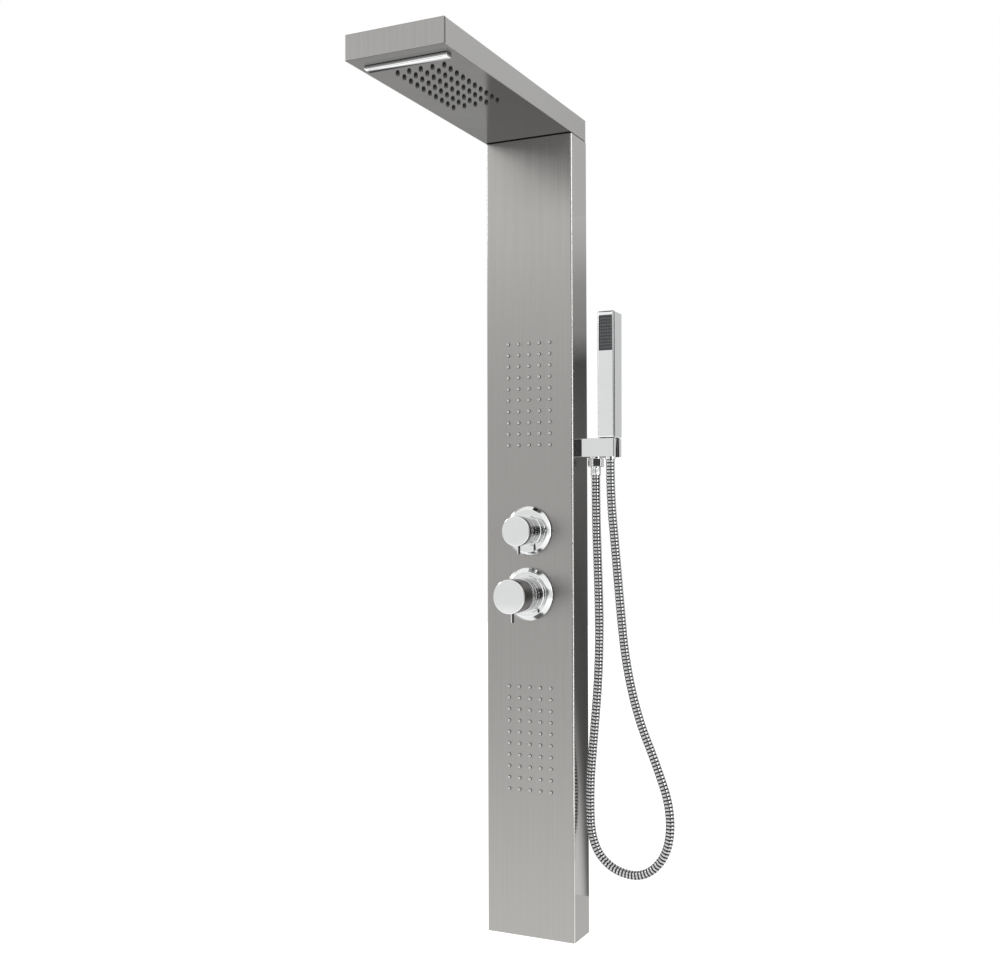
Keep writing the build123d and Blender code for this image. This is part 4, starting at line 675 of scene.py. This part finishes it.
def hose_tree():
    tree, group_in, group_out = new_tree("ribbed_hose", [
        ("Radius", "NodeSocketFloat", HOSE_DIAMETER / 2),
        ("Rib Pitch", "NodeSocketFloat", RIB_PITCH),
        ("Groove Depth", "NodeSocketFloat", GROOVE_DEPTH),
        ("Ring Spacing", "NodeSocketFloat", 0.001),
        ("Sides", "NodeSocketInt", 20), ("Material", "NodeSocketMaterial", None),
    ])
    new = tree.nodes.new
    to_curve = new("GeometryNodeMeshToCurve")
    even = new("GeometryNodeResampleCurve")
    along = new("GeometryNodeSplineParameter")
    ring = new("GeometryNodeCurvePrimitiveCircle")
    sweep = new("GeometryNodeCurveToMesh")
    smooth = new("GeometryNodeSetShadeSmooth")
    mark = new("GeometryNodeStoreNamedAttribute")
    mark.inputs["Name"].default_value = "groove"
    even.mode = "LENGTH"
    sweep.inputs["Fill Caps"].default_value = True

    def sum_of(operation, a, b):
        step = new("ShaderNodeMath")
        step.operation = operation
        for socket, value in zip(step.inputs, (a, b)):
            if isinstance(value, (int, float)):
                socket.default_value = value
            elif value is not None:
                tree.links.new(value, socket)
        return step.outputs["Value"]

    turns = sum_of("DIVIDE", along.outputs["Length"], group_in.outputs["Rib Pitch"])
    wave = sum_of("ABSOLUTE", sum_of("SINE", sum_of("MULTIPLY", turns, math.pi), None), None)
    swell = sum_of("POWER", wave, 0.45)
    hollow = sum_of("SUBTRACT", 1.0, swell)
    sunk = sum_of("MULTIPLY", hollow, group_in.outputs["Groove Depth"])
    radius = sum_of("SUBTRACT", group_in.outputs["Radius"], sunk)
    wire(
        tree, (group_in.outputs["Geometry"], to_curve.inputs["Mesh"]),
        (to_curve.outputs["Curve"], even.inputs["Curve"]),
        (group_in.outputs["Ring Spacing"], even.inputs["Length"]),
        (even.outputs["Curve"], mark.inputs["Geometry"]), (hollow, mark.inputs["Value"]),
        (mark.outputs["Geometry"], sweep.inputs["Curve"]),
        (group_in.outputs["Sides"], ring.inputs["Resolution"]),
        (ring.outputs["Curve"], sweep.inputs["Profile Curve"]),
        (sweep.outputs["Mesh"], smooth.inputs["Geometry"]),
    )
    ring.inputs["Radius"].default_value = 1.0
    wire(tree, (radius, sweep.inputs["Scale"]))
    finish_tree(tree, smooth.outputs["Geometry"], group_in, group_out)
    return tree


def make_hose():
    line = bpy.data.meshes.new("hose_line")
    edges = [(i, i + 1) for i in range(len(HOSE_LINE) - 1)]
    line.from_pydata(HOSE_LINE, edges, [])
    ribs = round(HOSE_LENGTH / RIB_PITCH)
    return grow(
        "shower_hose_ribbed", line, hose_tree(), Radius=HOSE_DIAMETER / 2,
        Rib_Pitch=HOSE_LENGTH / ribs, Groove_Depth=GROOVE_DEPTH,
        Ring_Spacing=HOSE_LENGTH / ribs / RINGS_PER_RIB, Sides=20, Material=HOSE_STEEL,
    )


hose = make_hose()
print("hose:", count_faces(hose), "faces")

# %% [markdown]
# The hose crosses a joint: its left end is screwed to the outlet, and its right end rises with
# the hand shower. A straight blend from one point to another can't say that, because the hose
# turns back on itself. So the share of the lift that each ring would take is measured along the
# hose, growing smoothly from nothing at the outlet to all of it at the hand shower, so that the
# bottom of the loop would rise half as far, as a real hose's does. The share is computed but not
# stored on the hose, so the hose doesn't follow the hand shower.

# %% Measure the hose's share of the hand shower's lift
def share_along(piece, line):
    """Measures each point's share of the lift from its place along the line, but doesn't store it.
    """
    tree = KDTree(len(line))
    travelled = [0.0]
    for before, after in zip(line, line[1:]):
        travelled.append(travelled[-1] + (after - before).length)
    for index, point in enumerate(line):
        tree.insert(point, index)
    tree.balance()
    for vertex in piece.data.vertices:
        part = travelled[tree.find(vertex.co)[1]] / travelled[-1]


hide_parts("shower_hose")
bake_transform(hose)
share_along(hose, HOSE_LINE)

# %% [markdown]
# ## The spray nozzles
#
# Each spray group is fifty soft silicone nozzles, moulded in one piece with the mat behind the
# plate. A nozzle is a short cone with a drilled tip, and soft rubber never stands quite
# straight. Copying one nozzle by hand fifty times would be slow to change. Here one low shape is
# turned in a few lines of code, and a node tree sets it on a grid, leans each copy by a
# hair and adds the mat. The same tree makes the body jets, the rain spray and the hand shower.

# %% Turn a round shape from its outline
def turn_outline(outline, sides, turn=Matrix.Identity(4)):
    """A closed mesh from (radius, height) points that start and end on the axis or meet."""
    points, faces = [], []
    rows = []
    for radius, height in outline:
        if radius == 0:
            points.append((0, 0, height))
            rows.append([len(points) - 1] * sides)
            continue
        first = len(points)
        for side in range(sides):
            angle = 2 * math.pi * side / sides
            points.append((radius * math.cos(angle), radius * math.sin(angle), height))
        rows.append(list(range(first, first + sides)))
    if outline[0][0] != 0:
        rows.append(rows[0])
    for low, high in zip(rows, rows[1:]):
        for side in range(sides):
            after = (side + 1) % sides
            corners = [low[side], low[after], high[after], high[side]]
            faces.append(list(dict.fromkeys(corners)))
    mesh = bpy.data.meshes.new("turned")
    mesh.from_pydata([turn @ Vector(point) for point in points], [], faces)
    return mesh


def tidy_normals(mesh, smooth_angle=math.radians(32)):
    """Points every face outward and rounds the shading, except over real edges."""
    shape = bmesh.new()
    shape.from_mesh(mesh)
    bmesh.ops.remove_doubles(shape, verts=shape.verts, dist=1e-7)
    bmesh.ops.recalc_face_normals(shape, faces=shape.faces)
    shape.to_mesh(mesh)
    shape.free()
    mesh.shade_smooth()
    mesh.set_sharp_from_angle(angle=smooth_angle)
    return mesh


def nozzle_outline(radius, tip, height, bore, root):
    """Half outline of one nozzle: a straight foot, a tapered neck and a drilled tip."""
    return [
        (0, -root), (radius, -root), (radius, 0.35 * height), (tip + 0.1 * radius, 0.92 * height),
        (tip, height), (bore, height), (0.85 * bore, height - 2 * bore), (0, height - 2 * bore),
    ]


print("one nozzle is turned from", len(nozzle_outline(1, 1, 1, 1, 1)), "points")


# %% Set the nozzles on their grid
def nozzle_tree():
    tree, group_in, group_out = new_tree("nozzle_field", [
        ("Columns", "NodeSocketInt", 5), ("Rows", "NodeSocketInt", 10),
        ("Width", "NodeSocketFloat", 0.072), ("Height", "NodeSocketFloat", 0.162),
        ("Lean", "NodeSocketVector", None), ("Seed", "NodeSocketInt", 1),
        ("Mat Size", "NodeSocketVector", None), ("Mat Depth", "NodeSocketVector", None),
        ("Turn", "NodeSocketVector", None), ("Place", "NodeSocketVector", None),
        ("Material", "NodeSocketMaterial", None),
    ])
    new = tree.nodes.new
    grid = new("GeometryNodeMeshGrid")
    lean = new("FunctionNodeRandomValue")
    lean.data_type = "FLOAT_VECTOR"
    back = new("ShaderNodeVectorMath")
    back.operation = "SCALE"
    back.inputs["Scale"].default_value = -1.0
    leaning = new("FunctionNodeEulerToRotation")
    copies = new("GeometryNodeInstanceOnPoints")
    mat = new("GeometryNodeMeshCube")
    sink = new("GeometryNodeTransform")
    both = new("GeometryNodeJoinGeometry")
    upright = new("FunctionNodeEulerToRotation")
    place = new("GeometryNodeTransform")
    given = group_in.outputs
    wire(
        tree,
        (given["Columns"], grid.inputs["Vertices X"]), (given["Rows"], grid.inputs["Vertices Y"]),
        (given["Width"], grid.inputs["Size X"]), (given["Height"], grid.inputs["Size Y"]),
        (given["Lean"], back.inputs[0]), (back.outputs["Vector"], lean.inputs[0]),
        (given["Lean"], lean.inputs[1]), (given["Seed"], lean.inputs["Seed"]),
        (lean.outputs[0], leaning.inputs["Euler"]),
        (leaning.outputs["Rotation"], copies.inputs["Rotation"]),
        (grid.outputs["Mesh"], copies.inputs["Points"]),
        (given["Geometry"], copies.inputs["Instance"]),
        (given["Mat Size"], mat.inputs["Size"]), (mat.outputs["Mesh"], sink.inputs["Geometry"]),
        (given["Mat Depth"], sink.inputs["Translation"]),
        (copies.outputs["Instances"], both.inputs["Geometry"]),
        (sink.outputs["Geometry"], both.inputs["Geometry"]),
        (both.outputs["Geometry"], place.inputs["Geometry"]),
        (given["Turn"], upright.inputs["Euler"]),
        (upright.outputs["Rotation"], place.inputs["Rotation"]),
        (given["Place"], place.inputs["Translation"]),
    )
    finish_tree(tree, place.outputs["Geometry"], group_in, group_out)
    return tree


NOZZLE_TREE = nozzle_tree()
FACING_FRONT = (math.pi / 2, 0.0, 0.0)
FACING_DOWN = (math.pi, 0.0, 0.0)


def spray_field(name, nozzle, field, mat, turn, place, material, seed):
    """One group of nozzles on its mat; field is its width and height, nozzle tip to tip."""
    shape = tidy_normals(turn_outline(nozzle, 12))
    width, height = field
    return grow(
        name, shape, NOZZLE_TREE, Columns=5, Rows=10, Width=width, Height=height,
        Lean=(math.radians(1.6), math.radians(1.6), 0.0), Seed=seed, Mat_Size=mat[0],
        Mat_Depth=(0.0, 0.0, mat[1]), Turn=turn, Place=place, Material=material,
    )


def register(piece, body, slot, *nodes):
    """Sets a piece on the body it rides on and hides the drawn pieces it stands for; slot is not
    used.
    """
    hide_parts(*nodes)
    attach(piece, body)
    print(piece.name, "has", count_faces(piece), "faces")


# %% Body jets and rain spray
NOZZLE_FIELD = (72 * MM, 162 * MM)
SPRAY_MAT = (90 * MM, 180 * MM, 2 * MM)
PLATE = 1.5 * MM


def make_spray_groups():
    low, high = box_corners("body_jet_nozzle_mats")
    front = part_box("column_shell")[0][1]
    half = SPRAY_MAT[1] / 2
    jet = [(r * MM, h * MM) for r, h in nozzle_outline(2.8, 1.8, 2.2, 0.65, 1.4)]
    mat = (SPRAY_MAT, -PLATE - SPRAY_MAT[2] / 2)
    groups = (("upper_body_jets", high.z - half, 3), ("lower_body_jets", low.z + half, 4))
    for name, z, seed in groups:
        place = (0, front, z)
        field = spray_field(
            name, jet, NOZZLE_FIELD, mat, FACING_FRONT, place, JET_SILICONE, seed,
        )
        register(field, "column", "grey_silicone", "body_jet_nozzle_mats")
    low, high = box_corners("rain_nozzle_mats")
    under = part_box("arm_underplate")[0][2]
    middle = (low.y + high.y) / 2
    drop = [(r * MM, h * MM) for r, h in nozzle_outline(2.8, 1.9, 3.8, 0.7, 1.4)]
    rain = spray_field(
        "rain_nozzles_moulded", drop, NOZZLE_FIELD, mat, FACING_DOWN, (0, middle, under),
        DARK_SILICONE, 5,
    )
    register(rain, "column", "grey_silicone", "rain_nozzle_mats")


make_spray_groups()


# %% The hand shower's small nozzles
def make_hand_nozzles():
    low, high = box_corners("hand_shower_nozzles")
    face_low = box_corners("hand_shower_face")[0]
    middle = (low + high) / 2
    small = [(r * MM, h * MM) for r, h in nozzle_outline(1.2, 0.8, 0.8, 0.3, 1.2)]
    size = (high.x - low.x, high.z - low.z, 1.5 * MM)
    depth = face_low.y - (high.y - size[2] / 2)
    return spray_field(
        "hand_shower_nozzles_moulded", small, (16 * MM, 45 * MM), (size, depth), FACING_FRONT,
        (middle.x, face_low.y, middle.z), HAND_SILICONE, 6,
    )


register(make_hand_nozzles(), "hand_shower", "grey_silicone", "hand_shower_nozzles")

# %% [markdown]
# ## Knobs, collars and escutcheons
#
# These are turned brass, polished and chromed. A lathe leaves no hard edges, and on chrome it is
# the small rounded edges that show: each one catches a bright line. So the outlines here have
# the drawn sizes, with every corner rounded by a short curve, and with the fine grooves and steps
# that a turner cuts. The round sides get a painted dark reflection, much darker than the faces,
# which stands for a dark side of the room. The outline is a list of corners with a radius each;
# a function rounds them, and the shape is turned about the valve's axis.

# %% Round an outline's corners
CURVE_STEPS = 4


def rounded(corners):
    """Points of an outline whose corners (radius, height, rounding) become short curves."""
    points = []
    for index, (x, y, rounding) in enumerate(corners):
        here = Vector((x, y))
        if rounding == 0:
            points.append(tuple(here))
            continue
        before = Vector(corners[index - 1][:2]) - here
        after = Vector(corners[(index + 1) % len(corners)][:2]) - here
        reach = rounding / math.tan(before.angle(after) / 2)
        start = here + before.normalized() * reach
        end = here + after.normalized() * reach
        for step in range(CURVE_STEPS + 1):
            t = step / CURVE_STEPS
            points.append(tuple((1 - t) ** 2 * start + 2 * t * (1 - t) * here + t * t * end))
    return points


def turned_metal():
    """Chrome whose round sides, which face across the valve's axis, get a painted dark reflection.
    """
    material, tree, shader = new_material("turned_chrome", metallic=1.0)
    face = ramp(tree, facing(tree, "Y"), (0.08, 0.0), (0.35, 1.0))
    cloud, bright = wiping_marks(tree, *PALE_CHROME)
    rings = noise(tree, (40.0, 2600.0, 40.0), detail=2.0)
    # The round sides' painted dark reflection, varied by the lathe's ring marks.
    side = ramp(tree, rings, (0.3, 0.22), (0.7, 0.32))
    tree.links.new(mix_colours(tree, face, side, bright), shader.inputs["Base Color"])
    dull = spread(tree, rings, 0.07, 0.11)
    clear = spread(tree, cloud, 0.035, 0.07)
    tree.links.new(mix_colours(tree, face, dull, clear), shader.inputs["Roughness"])
    return material


TURNED_CHROME = turned_metal()


def turn_piece(name, corners, front, z, material):
    """A turned piece; its heights are millimetres in front of the column."""
    outline = [(max(r, 0.0) * MM, h * MM) for r, h in rounded(corners)]
    turn = Matrix.Translation((0, front, z)) @ Matrix.Rotation(math.pi / 2, 4, "X")
    mesh = tidy_normals(turn_outline(outline, 96, turn), math.radians(24))
    mesh.materials.append(material)
    piece = bpy.data.objects.new(name, mesh)
    bpy.context.scene.collection.objects.link(piece)
    return piece


# %% Turn the knobs and their trim
def knob_corners(radius, back, face):
    """A closed cup with two fine grooves near its back edge."""
    groove = back + 5.0
    return [
        (0, face, 0), (radius, face, 1.3), (radius, groove + 2.2, 0.2),
        (radius - 0.5, groove + 2.0, 0.1), (radius - 0.5, groove + 1.4, 0.1),
        (radius, groove + 1.2, 0.2), (radius, back, 1.1),
        (radius - 5, back, 0.4), (radius - 5, face - 5, 0.4), (10, face - 5, 0.4), (10, back, 0.4),
        (5.1, back, 0), (5.1, back + 15.9, 0), (0, back + 15.9, 0),
    ]


def escutcheon_corners(edge, depth, bevel, collar):
    """A bevelled dish with a stepped ring round the collar."""
    step = collar + 3.2
    return [
        (edge, 0.8, 0.4), (edge, depth * 0.42, 1.0), (edge - bevel, depth - 1.2, 1.4),
        (step + 0.6, depth - 1.2, 0.3), (step, depth, 0.5), (collar - 2, depth, 0.0),
        (collar - 2, depth - 1.6, 0.0), (step - 0.5, depth - 2.6, 0.4),
        (edge - bevel - 1, depth - 2.8, 0.6), (edge - 2.5, 0.8, 0.3),
    ]


def collar_corners(collar, depth, front):
    """A short sleeve with a bead at its foot and a rounded front edge."""
    middle = (depth + front) / 2
    return [
        (collar - 2, depth, 0.0), (collar, depth, 0.2), (collar, middle - 0.5, 0.2),
        (collar - 0.45, middle - 0.3, 0.1), (collar - 0.45, middle + 0.3, 0.1),
        (collar, middle + 0.5, 0.2), (collar, front, 1.2), (6, front, 0.2),
        (6, front - 1.5, 0.2), (collar - 2, front - 1.5, 0.3),
    ]


def make_trim(valve, bevel):
    """Reads the drawn sizes of one valve's trim and turns its three pieces."""
    column_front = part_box("column_shell")[0][1]
    boxes = {part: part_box(valve + "_" + part) for part in ("knob", "collar", "escutcheon")}
    low, high = (Vector(corner) for corner in boxes["knob"])
    z = (low.z + high.z) / 2
    radius = {part: (box[1][0] - box[0][0]) / 2 / MM for part, box in boxes.items()}
    front = {part: (column_front - box[0][1]) / MM for part, box in boxes.items()}
    depth = front["escutcheon"]
    back = (column_front - high.y) / MM
    corners = {
        "knob": knob_corners(radius["knob"], back, front["knob"]),
        "collar": collar_corners(radius["collar"], depth, front["collar"]),
        "escutcheon": escutcheon_corners(radius["escutcheon"], depth, bevel, radius["collar"]),
    }
    for part, outline in corners.items():
        piece = turn_piece(f"{valve}_{part}_turned", outline, column_front, z, TURNED_CHROME)
        body = valve + "_knob" if part == "knob" else "column"
        register(piece, body, "chrome", f"{valve}_{part}")


make_trim("mixer", 6.5)
make_trim("diverter", 5.0)

# %% [markdown]
# ## The waterfall outlet, the hose nut and its sleeve
#
# The waterfall's lip is a milled bar with a long mouth close behind its front edge, so that the
# water leaves it as a sheet. The nut has six flats with its corners turned off, as every nut
# from a bar has, and the sleeve is rolled with fine flutes so that fingers can hold the hose
# still. Booleans are right for a mouth in a bar, a bevel for the nut, and a formula for flutes.

# %% Carve, bevel and flute
def add_piece(name, shape, material):
    """Turns a bmesh into a piece of the model."""
    mesh = bpy.data.meshes.new(name)
    shape.to_mesh(mesh)
    shape.free()
    mesh.materials.append(material)
    piece = bpy.data.objects.new(name, mesh)
    bpy.context.scene.collection.objects.link(piece)
    return piece


def bevel_all(shape, rounding, segments, profile):
    bmesh.ops.bevel(
        shape, geom=shape.edges[:], offset=rounding, segments=segments, profile=profile,
        affect="EDGES",
    )


def box_shape(low, high, rounding, segments=3):
    """A box between two corners with all its edges rounded."""
    shape = bmesh.new()
    size = Vector(high) - Vector(low)
    middle = (Vector(high) + Vector(low)) / 2
    move = Matrix.Translation(middle) @ Matrix.Diagonal((*size, 1.0))
    bmesh.ops.create_cube(shape, size=1.0, matrix=move)
    if rounding:
        bevel_all(shape, rounding, segments, 0.5)
    return shape


def apply_modifiers(piece):
    """Replaces a piece's mesh with what its modifiers make of it."""
    bpy.context.view_layer.update()
    evaluated = piece.evaluated_get(bpy.context.evaluated_depsgraph_get())
    made = bpy.data.meshes.new_from_object(evaluated)
    piece.modifiers.clear()
    piece.data = made


def carve(piece, *cutters):
    """Cuts boxes, each a (low, high) pair of corners, out of a piece."""
    for low, high in cutters:
        tool = add_piece("cutter", box_shape(low, high, 0), CHROME)
        cut = piece.modifiers.new("carve", "BOOLEAN")
        cut.object = tool
        cut.operation = "DIFFERENCE"
        cut.solver = "EXACT"
        apply_modifiers(piece)
        bpy.data.objects.remove(tool)


LIP_ROUNDING = 0.9 * MM
MOUTH_BEHIND = 1.3 * MM
MOUTH_MARGIN = 6 * MM
MOUTH_WIDTH = 0.8 * MM
MOUTH_DEPTH = 4 * MM


def make_waterfall_lip():
    low, high = box_corners("waterfall_lip")
    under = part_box("arm_underplate")[0][2]
    bar = box_shape(low, (high.x, high.y, under), LIP_ROUNDING)
    piece = add_piece("waterfall_lip_milled", bar, CHROME)
    mouth_front = low.y + MOUTH_BEHIND
    mouth_low = (low.x + MOUTH_MARGIN, mouth_front, low.z - 1 * MM)
    mouth_high = (high.x - MOUTH_MARGIN, mouth_front + MOUTH_WIDTH, low.z + MOUTH_DEPTH)
    carve(piece, (mouth_low, mouth_high))
    tidy_normals(piece.data)
    return piece


register(make_waterfall_lip(), "column", "chrome", "waterfall_lip")


# %% Nut and sleeve
NUT_ROUNDING = 0.9 * MM
FLUTES = 28
FACETS = 4
FLUTE_DEPTH = 0.35 * MM


def make_hose_nut():
    low, high = box_corners("outlet_hose_nut")
    middle = (low + high) / 2
    shape = bmesh.new()
    flats = min(high.x - low.x, high.y - low.y) / 2
    corner = flats / math.cos(math.pi / 6)
    turn = 0.0 if high.x - low.x > high.y - low.y else math.pi / 6
    place = Matrix.Translation(middle) @ Matrix.Rotation(turn, 4, "Z")
    bmesh.ops.create_cone(
        shape, cap_ends=True, segments=6, radius1=corner, radius2=corner,
        depth=high.z - low.z, matrix=place,
    )
    bevel_all(shape, NUT_ROUNDING, 3, 0.6)
    piece = add_piece("outlet_hose_nut_bevelled", shape, CHROME)
    tidy_normals(piece.data)
    return piece


def make_hose_sleeve():
    low, high = box_corners("outlet_hose_sleeve")
    middle = (low + high) / 2
    radius = (high.x - low.x) / 2
    shape = bmesh.new()
    rings = []
    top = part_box("outlet_hose_nut")[0][2]
    for z, inset, fluted in (
        (low.z, 1.2, 0), (low.z + 0.6 * MM, 0.3, 0), (low.z + 2 * MM, 0, 0),
        (low.z + 2.6 * MM, 0, 1), (top - 2.6 * MM, 0, 1), (top - 2 * MM, 0, 0),
        (top - 0.4 * MM, 0.2, 0), (top, 0.8, 0),
    ):
        ring = []
        for step in range(FLUTES * FACETS):
            angle = 2 * math.pi * step / (FLUTES * FACETS)
            cut = fluted * FLUTE_DEPTH * (1 - math.cos(FLUTES * angle)) / 2
            reach = radius - inset * MM - cut
            x = middle.x + reach * math.cos(angle)
            y = middle.y + reach * math.sin(angle)
            ring.append(shape.verts.new((x, y, z)))
        rings.append(ring)
    for below, above in zip(rings, rings[1:]):
        for step in range(len(below)):
            after = (step + 1) % len(below)
            shape.faces.new((below[step], below[after], above[after], above[step]))
    shape.faces.new(rings[0][::-1])
    shape.faces.new(rings[-1])
    piece = add_piece("outlet_hose_sleeve_fluted", shape, CHROME)
    tidy_normals(piece.data)
    return piece


HOSE_NUT = make_hose_nut()
HOSE_SLEEVE = make_hose_sleeve()
register(HOSE_NUT, "column", "chrome", "outlet_hose_nut")
register(HOSE_SLEEVE, "column", "chrome", "outlet_hose_sleeve")

# %% [markdown]
# ## The hand shower's body
#
# The handle is a square chrome bar with its long edges rounded to about three millimetres, and
# it is a little deeper at its head. Those four roundings are what the eye reads: each draws a
# dark and a bright line from end to end. A box is bevelled, its back is drawn in towards the
# foot for the taper, and a recess is cut where the dark spray face lies.

# %% Shape the handle
HANDLE_ROUNDING = 3.0 * MM
HANDLE_TAPER = 2.5 * MM


def make_handle():
    low, high = box_corners("hand_shower_body")
    face_low, face_high = box_corners("hand_shower_face")
    shape = box_shape(low, high, HANDLE_ROUNDING, segments=6)
    for vertex in shape.verts:
        rise = (vertex.co.z - low.z) / (high.z - low.z)
        depth = (vertex.co.y - low.y) / (high.y - low.y)
        vertex.co.y -= HANDLE_TAPER * (1 - rise) * depth
    piece = add_piece("hand_shower_handle", shape, HANDLE_CHROME)
    gap = Vector((0.2 * MM, 0.0, 0.2 * MM))
    recess_low = face_low - gap - Vector((0.0, 4 * MM, 0.0))
    carve(piece, (recess_low, face_high + gap))
    tidy_normals(piece.data)
    return piece


register(make_handle(), "hand_shower", "chrome", "hand_shower_body")

# %% [markdown]
# ## The hose's length
#
# The last fact about the hose is how long it is, printed below.

print("hose declared,", round(HOSE_LENGTH, 3), "m")

# %% [markdown]
# ## The room around it
#
# Bright metal shows nothing but the room, so the room is designed with care. It is a pale
# studio: even light from all round, a little brighter towards floor and ceiling, with dark
# patches in six directions, which draw the thin dark lines along the folds. The camera itself
# sees plain white behind the column. The world's own direction vector makes the gradient.

# %% Studio surround
def patch(tree, direction, heading, edge, core):
    """How near a direction is to a heading: 0 outside the patch, 1 at its core."""
    dot = add(tree, "ShaderNodeVectorMath", operation="DOT_PRODUCT")
    dot.inputs[1].default_value = Vector(heading).normalized()
    tree.links.new(direction, dot.inputs[0])
    return ramp(tree, dot.outputs["Value"], (edge, 0.0), (core, 1.0))


def studio_world():
    world = bpy.data.worlds.new("studio")
    bpy.context.scene.world = world
    world.use_nodes = True
    tree = world.node_tree
    tree.nodes.clear()
    direction = add(tree, "ShaderNodeTexCoord").outputs["Generated"]
    split = add(tree, "ShaderNodeSeparateXYZ")
    tree.links.new(direction, split.inputs["Vector"])
    height = spread(tree, split.outputs["Z"], 0.0, 1.0, -1.0, 1.0)
    room = ramp(tree, height, *[((1 + z) / 2, grey) for z, grey in ROOM_GREYS])
    for heading, edge, core, grey in DARK_PATCHES:
        part = patch(tree, direction, heading, edge, core)
        room = mix_colours(tree, part, room, (grey, grey, grey, 1.0))
    seen = add(tree, "ShaderNodeBackground")
    seen.inputs["Color"].default_value = (1, 1, 1, 1)
    lit = add(tree, "ShaderNodeBackground")
    tree.links.new(room, lit.inputs["Color"])
    rays = add(tree, "ShaderNodeLightPath")
    both = add(tree, "ShaderNodeMixShader")
    tree.links.new(rays.outputs["Is Camera Ray"], both.inputs["Fac"])
    tree.links.new(lit.outputs["Background"], both.inputs[1])
    tree.links.new(seen.outputs["Background"], both.inputs[2])
    output = add(tree, "ShaderNodeOutputWorld")
    tree.links.new(both.outputs["Shader"], output.inputs["Surface"])


# height of a direction, from straight down at -1 to straight up at 1, and the light from there
ROOM_GREYS = [
    (-1.0, 0.9), (-0.34, 1.2), (-0.28, 1.12), (-0.2, 0.9), (-0.12, 0.79), (0.0, 0.78),
    (0.12, 0.79), (0.19, 0.9), (0.28, 1.05), (0.4, 1.0), (1.0, 0.9),
]
# heading, cosine at its soft edge, cosine at its core, grey
DARK_PATCHES = [
    ((0.45, 0.9, 0.0), 0.80, 0.95, 0.60),
    ((0.50, -0.87, 0.0), 0.925, 0.975, 0.04),
    ((-0.45, 0.9, 0.0), 0.95, 0.985, 0.06),
    ((0.63, -0.78, 0.08), 0.93, 0.965, 0.05),
    ((0.12, -0.22, 0.97), 0.955, 0.985, 0.10),
    ((0.12, -0.22, -0.97), 0.955, 0.985, 0.12),
]
studio_world()
print("studio surround ready")

# %% [markdown]
# The floor is a pale sheet well below the column's foot, because the column hangs on a wall.
# Two soft boxes light it: one to the right that draws the bright line down the folded
# edge, and one high on the left that puts a spark on every nozzle. A dark card stands close
# behind the right side, seen by reflections only, and darkens the polished return.

# %% Floor, lights and card
FLOOR_Z = -0.95


def flat_sheet(name, corners, colour, glow=0.0):
    mesh = bpy.data.meshes.new(name)
    mesh.from_pydata(corners, [], [(0, 1, 2, 3)])
    sheet = bpy.data.objects.new(name, mesh)
    bpy.context.scene.collection.objects.link(sheet)
    material, tree, shader = new_material(name)
    tint = noise(tree, (2.0, 2.0, 2.0), detail=1.0)
    shades = (0.3, shade(colour, 0.98)), (0.7, colour)
    tree.links.new(ramp(tree, tint, *shades), shader.inputs["Base Color"])
    shader.inputs["Roughness"].default_value = 0.9
    shader.inputs["Emission Color"].default_value = (1, 1, 1, 1)
    shader.inputs["Emission Strength"].default_value = glow
    mesh.materials.append(material)
    return sheet


def make_floor():
    far = 8.0
    corners = [(x, y, FLOOR_Z) for x, y in ((-far, -far), (far, -far), (far, far), (-far, far))]
    floor = flat_sheet("floor", corners, (0.88, 0.88, 0.88), glow=0.45)
    floor.visible_glossy = False
    return floor


def make_card():
    """A dark card behind the right side that only reflections see."""
    x0, x1 = 0.078, 0.122
    z0, z1 = CARD_GREYS[0][0], CARD_GREYS[-1][0]
    corners = [(x, 0.02, z) for x, z in ((x0, z0), (x1, z0), (x1, z1), (x0, z1))]
    card = flat_sheet("dark_card", corners, (0.0, 0.0, 0.0))
    tree = card.data.materials[0].node_tree
    shader = tree.nodes["Principled BSDF"]
    place = object_axes(tree)
    low = calculate(tree, "MINIMUM", place["Z"], 0.0)
    beyond = calculate(tree, "SUBTRACT", place["X"], 0.099)
    slant = calculate(tree, "MULTIPLY", low, calculate(tree, "MULTIPLY", beyond, 27.0))
    slanted = calculate(tree, "ADD", place["Z"], slant)
    share = spread(tree, slanted, 0.0, 1.0, z0, z1)
    stops = [((z - z0) / (z1 - z0), grey) for z, grey in CARD_GREYS]
    tree.links.new(ramp(tree, share, *stops), shader.inputs["Emission Color"])
    shader.inputs["Emission Strength"].default_value = 1.0
    shader.inputs["Specular IOR Level"].default_value = 0.0
    card.visible_camera = False
    card.visible_diffuse = False
    card.visible_shadow = False
    card.visible_transmission = False
    return card


# height on the card in metres, brightness there
CARD_GREYS = [
    (-0.60, 0.74), (-0.54, 0.68), (-0.46, 0.50), (-0.40, 0.24), (-0.32, 0.10), (-0.12, 0.085),
    (0.07, 0.14), (0.26, 0.09), (0.31, 0.31), (0.385, 0.38), (0.449, 0.55), (0.50, 0.62),
]


def soft_box(name, place, target, width, height, power):
    light = bpy.data.lights.new(name, "AREA")
    light.shape = "RECTANGLE"
    light.size = width
    light.size_y = height
    light.energy = power
    lamp = bpy.data.objects.new(name, light)
    bpy.context.scene.collection.objects.link(lamp)
    lamp.location = place
    direction = Vector(target) - Vector(place)
    lamp.rotation_euler = direction.to_track_quat("-Z", "Y").to_euler()
    return lamp


make_floor()
make_card()
soft_box("right_box", (2.4, -0.9, 0.2), (0, 0, 0), 0.35, 2.6, 12.0)
soft_box("left_box", (-2.4, -1.1, 1.2), (0, 0, 0), 0.5, 0.5, 8.0)
print("floor at", FLOOR_Z, "m")
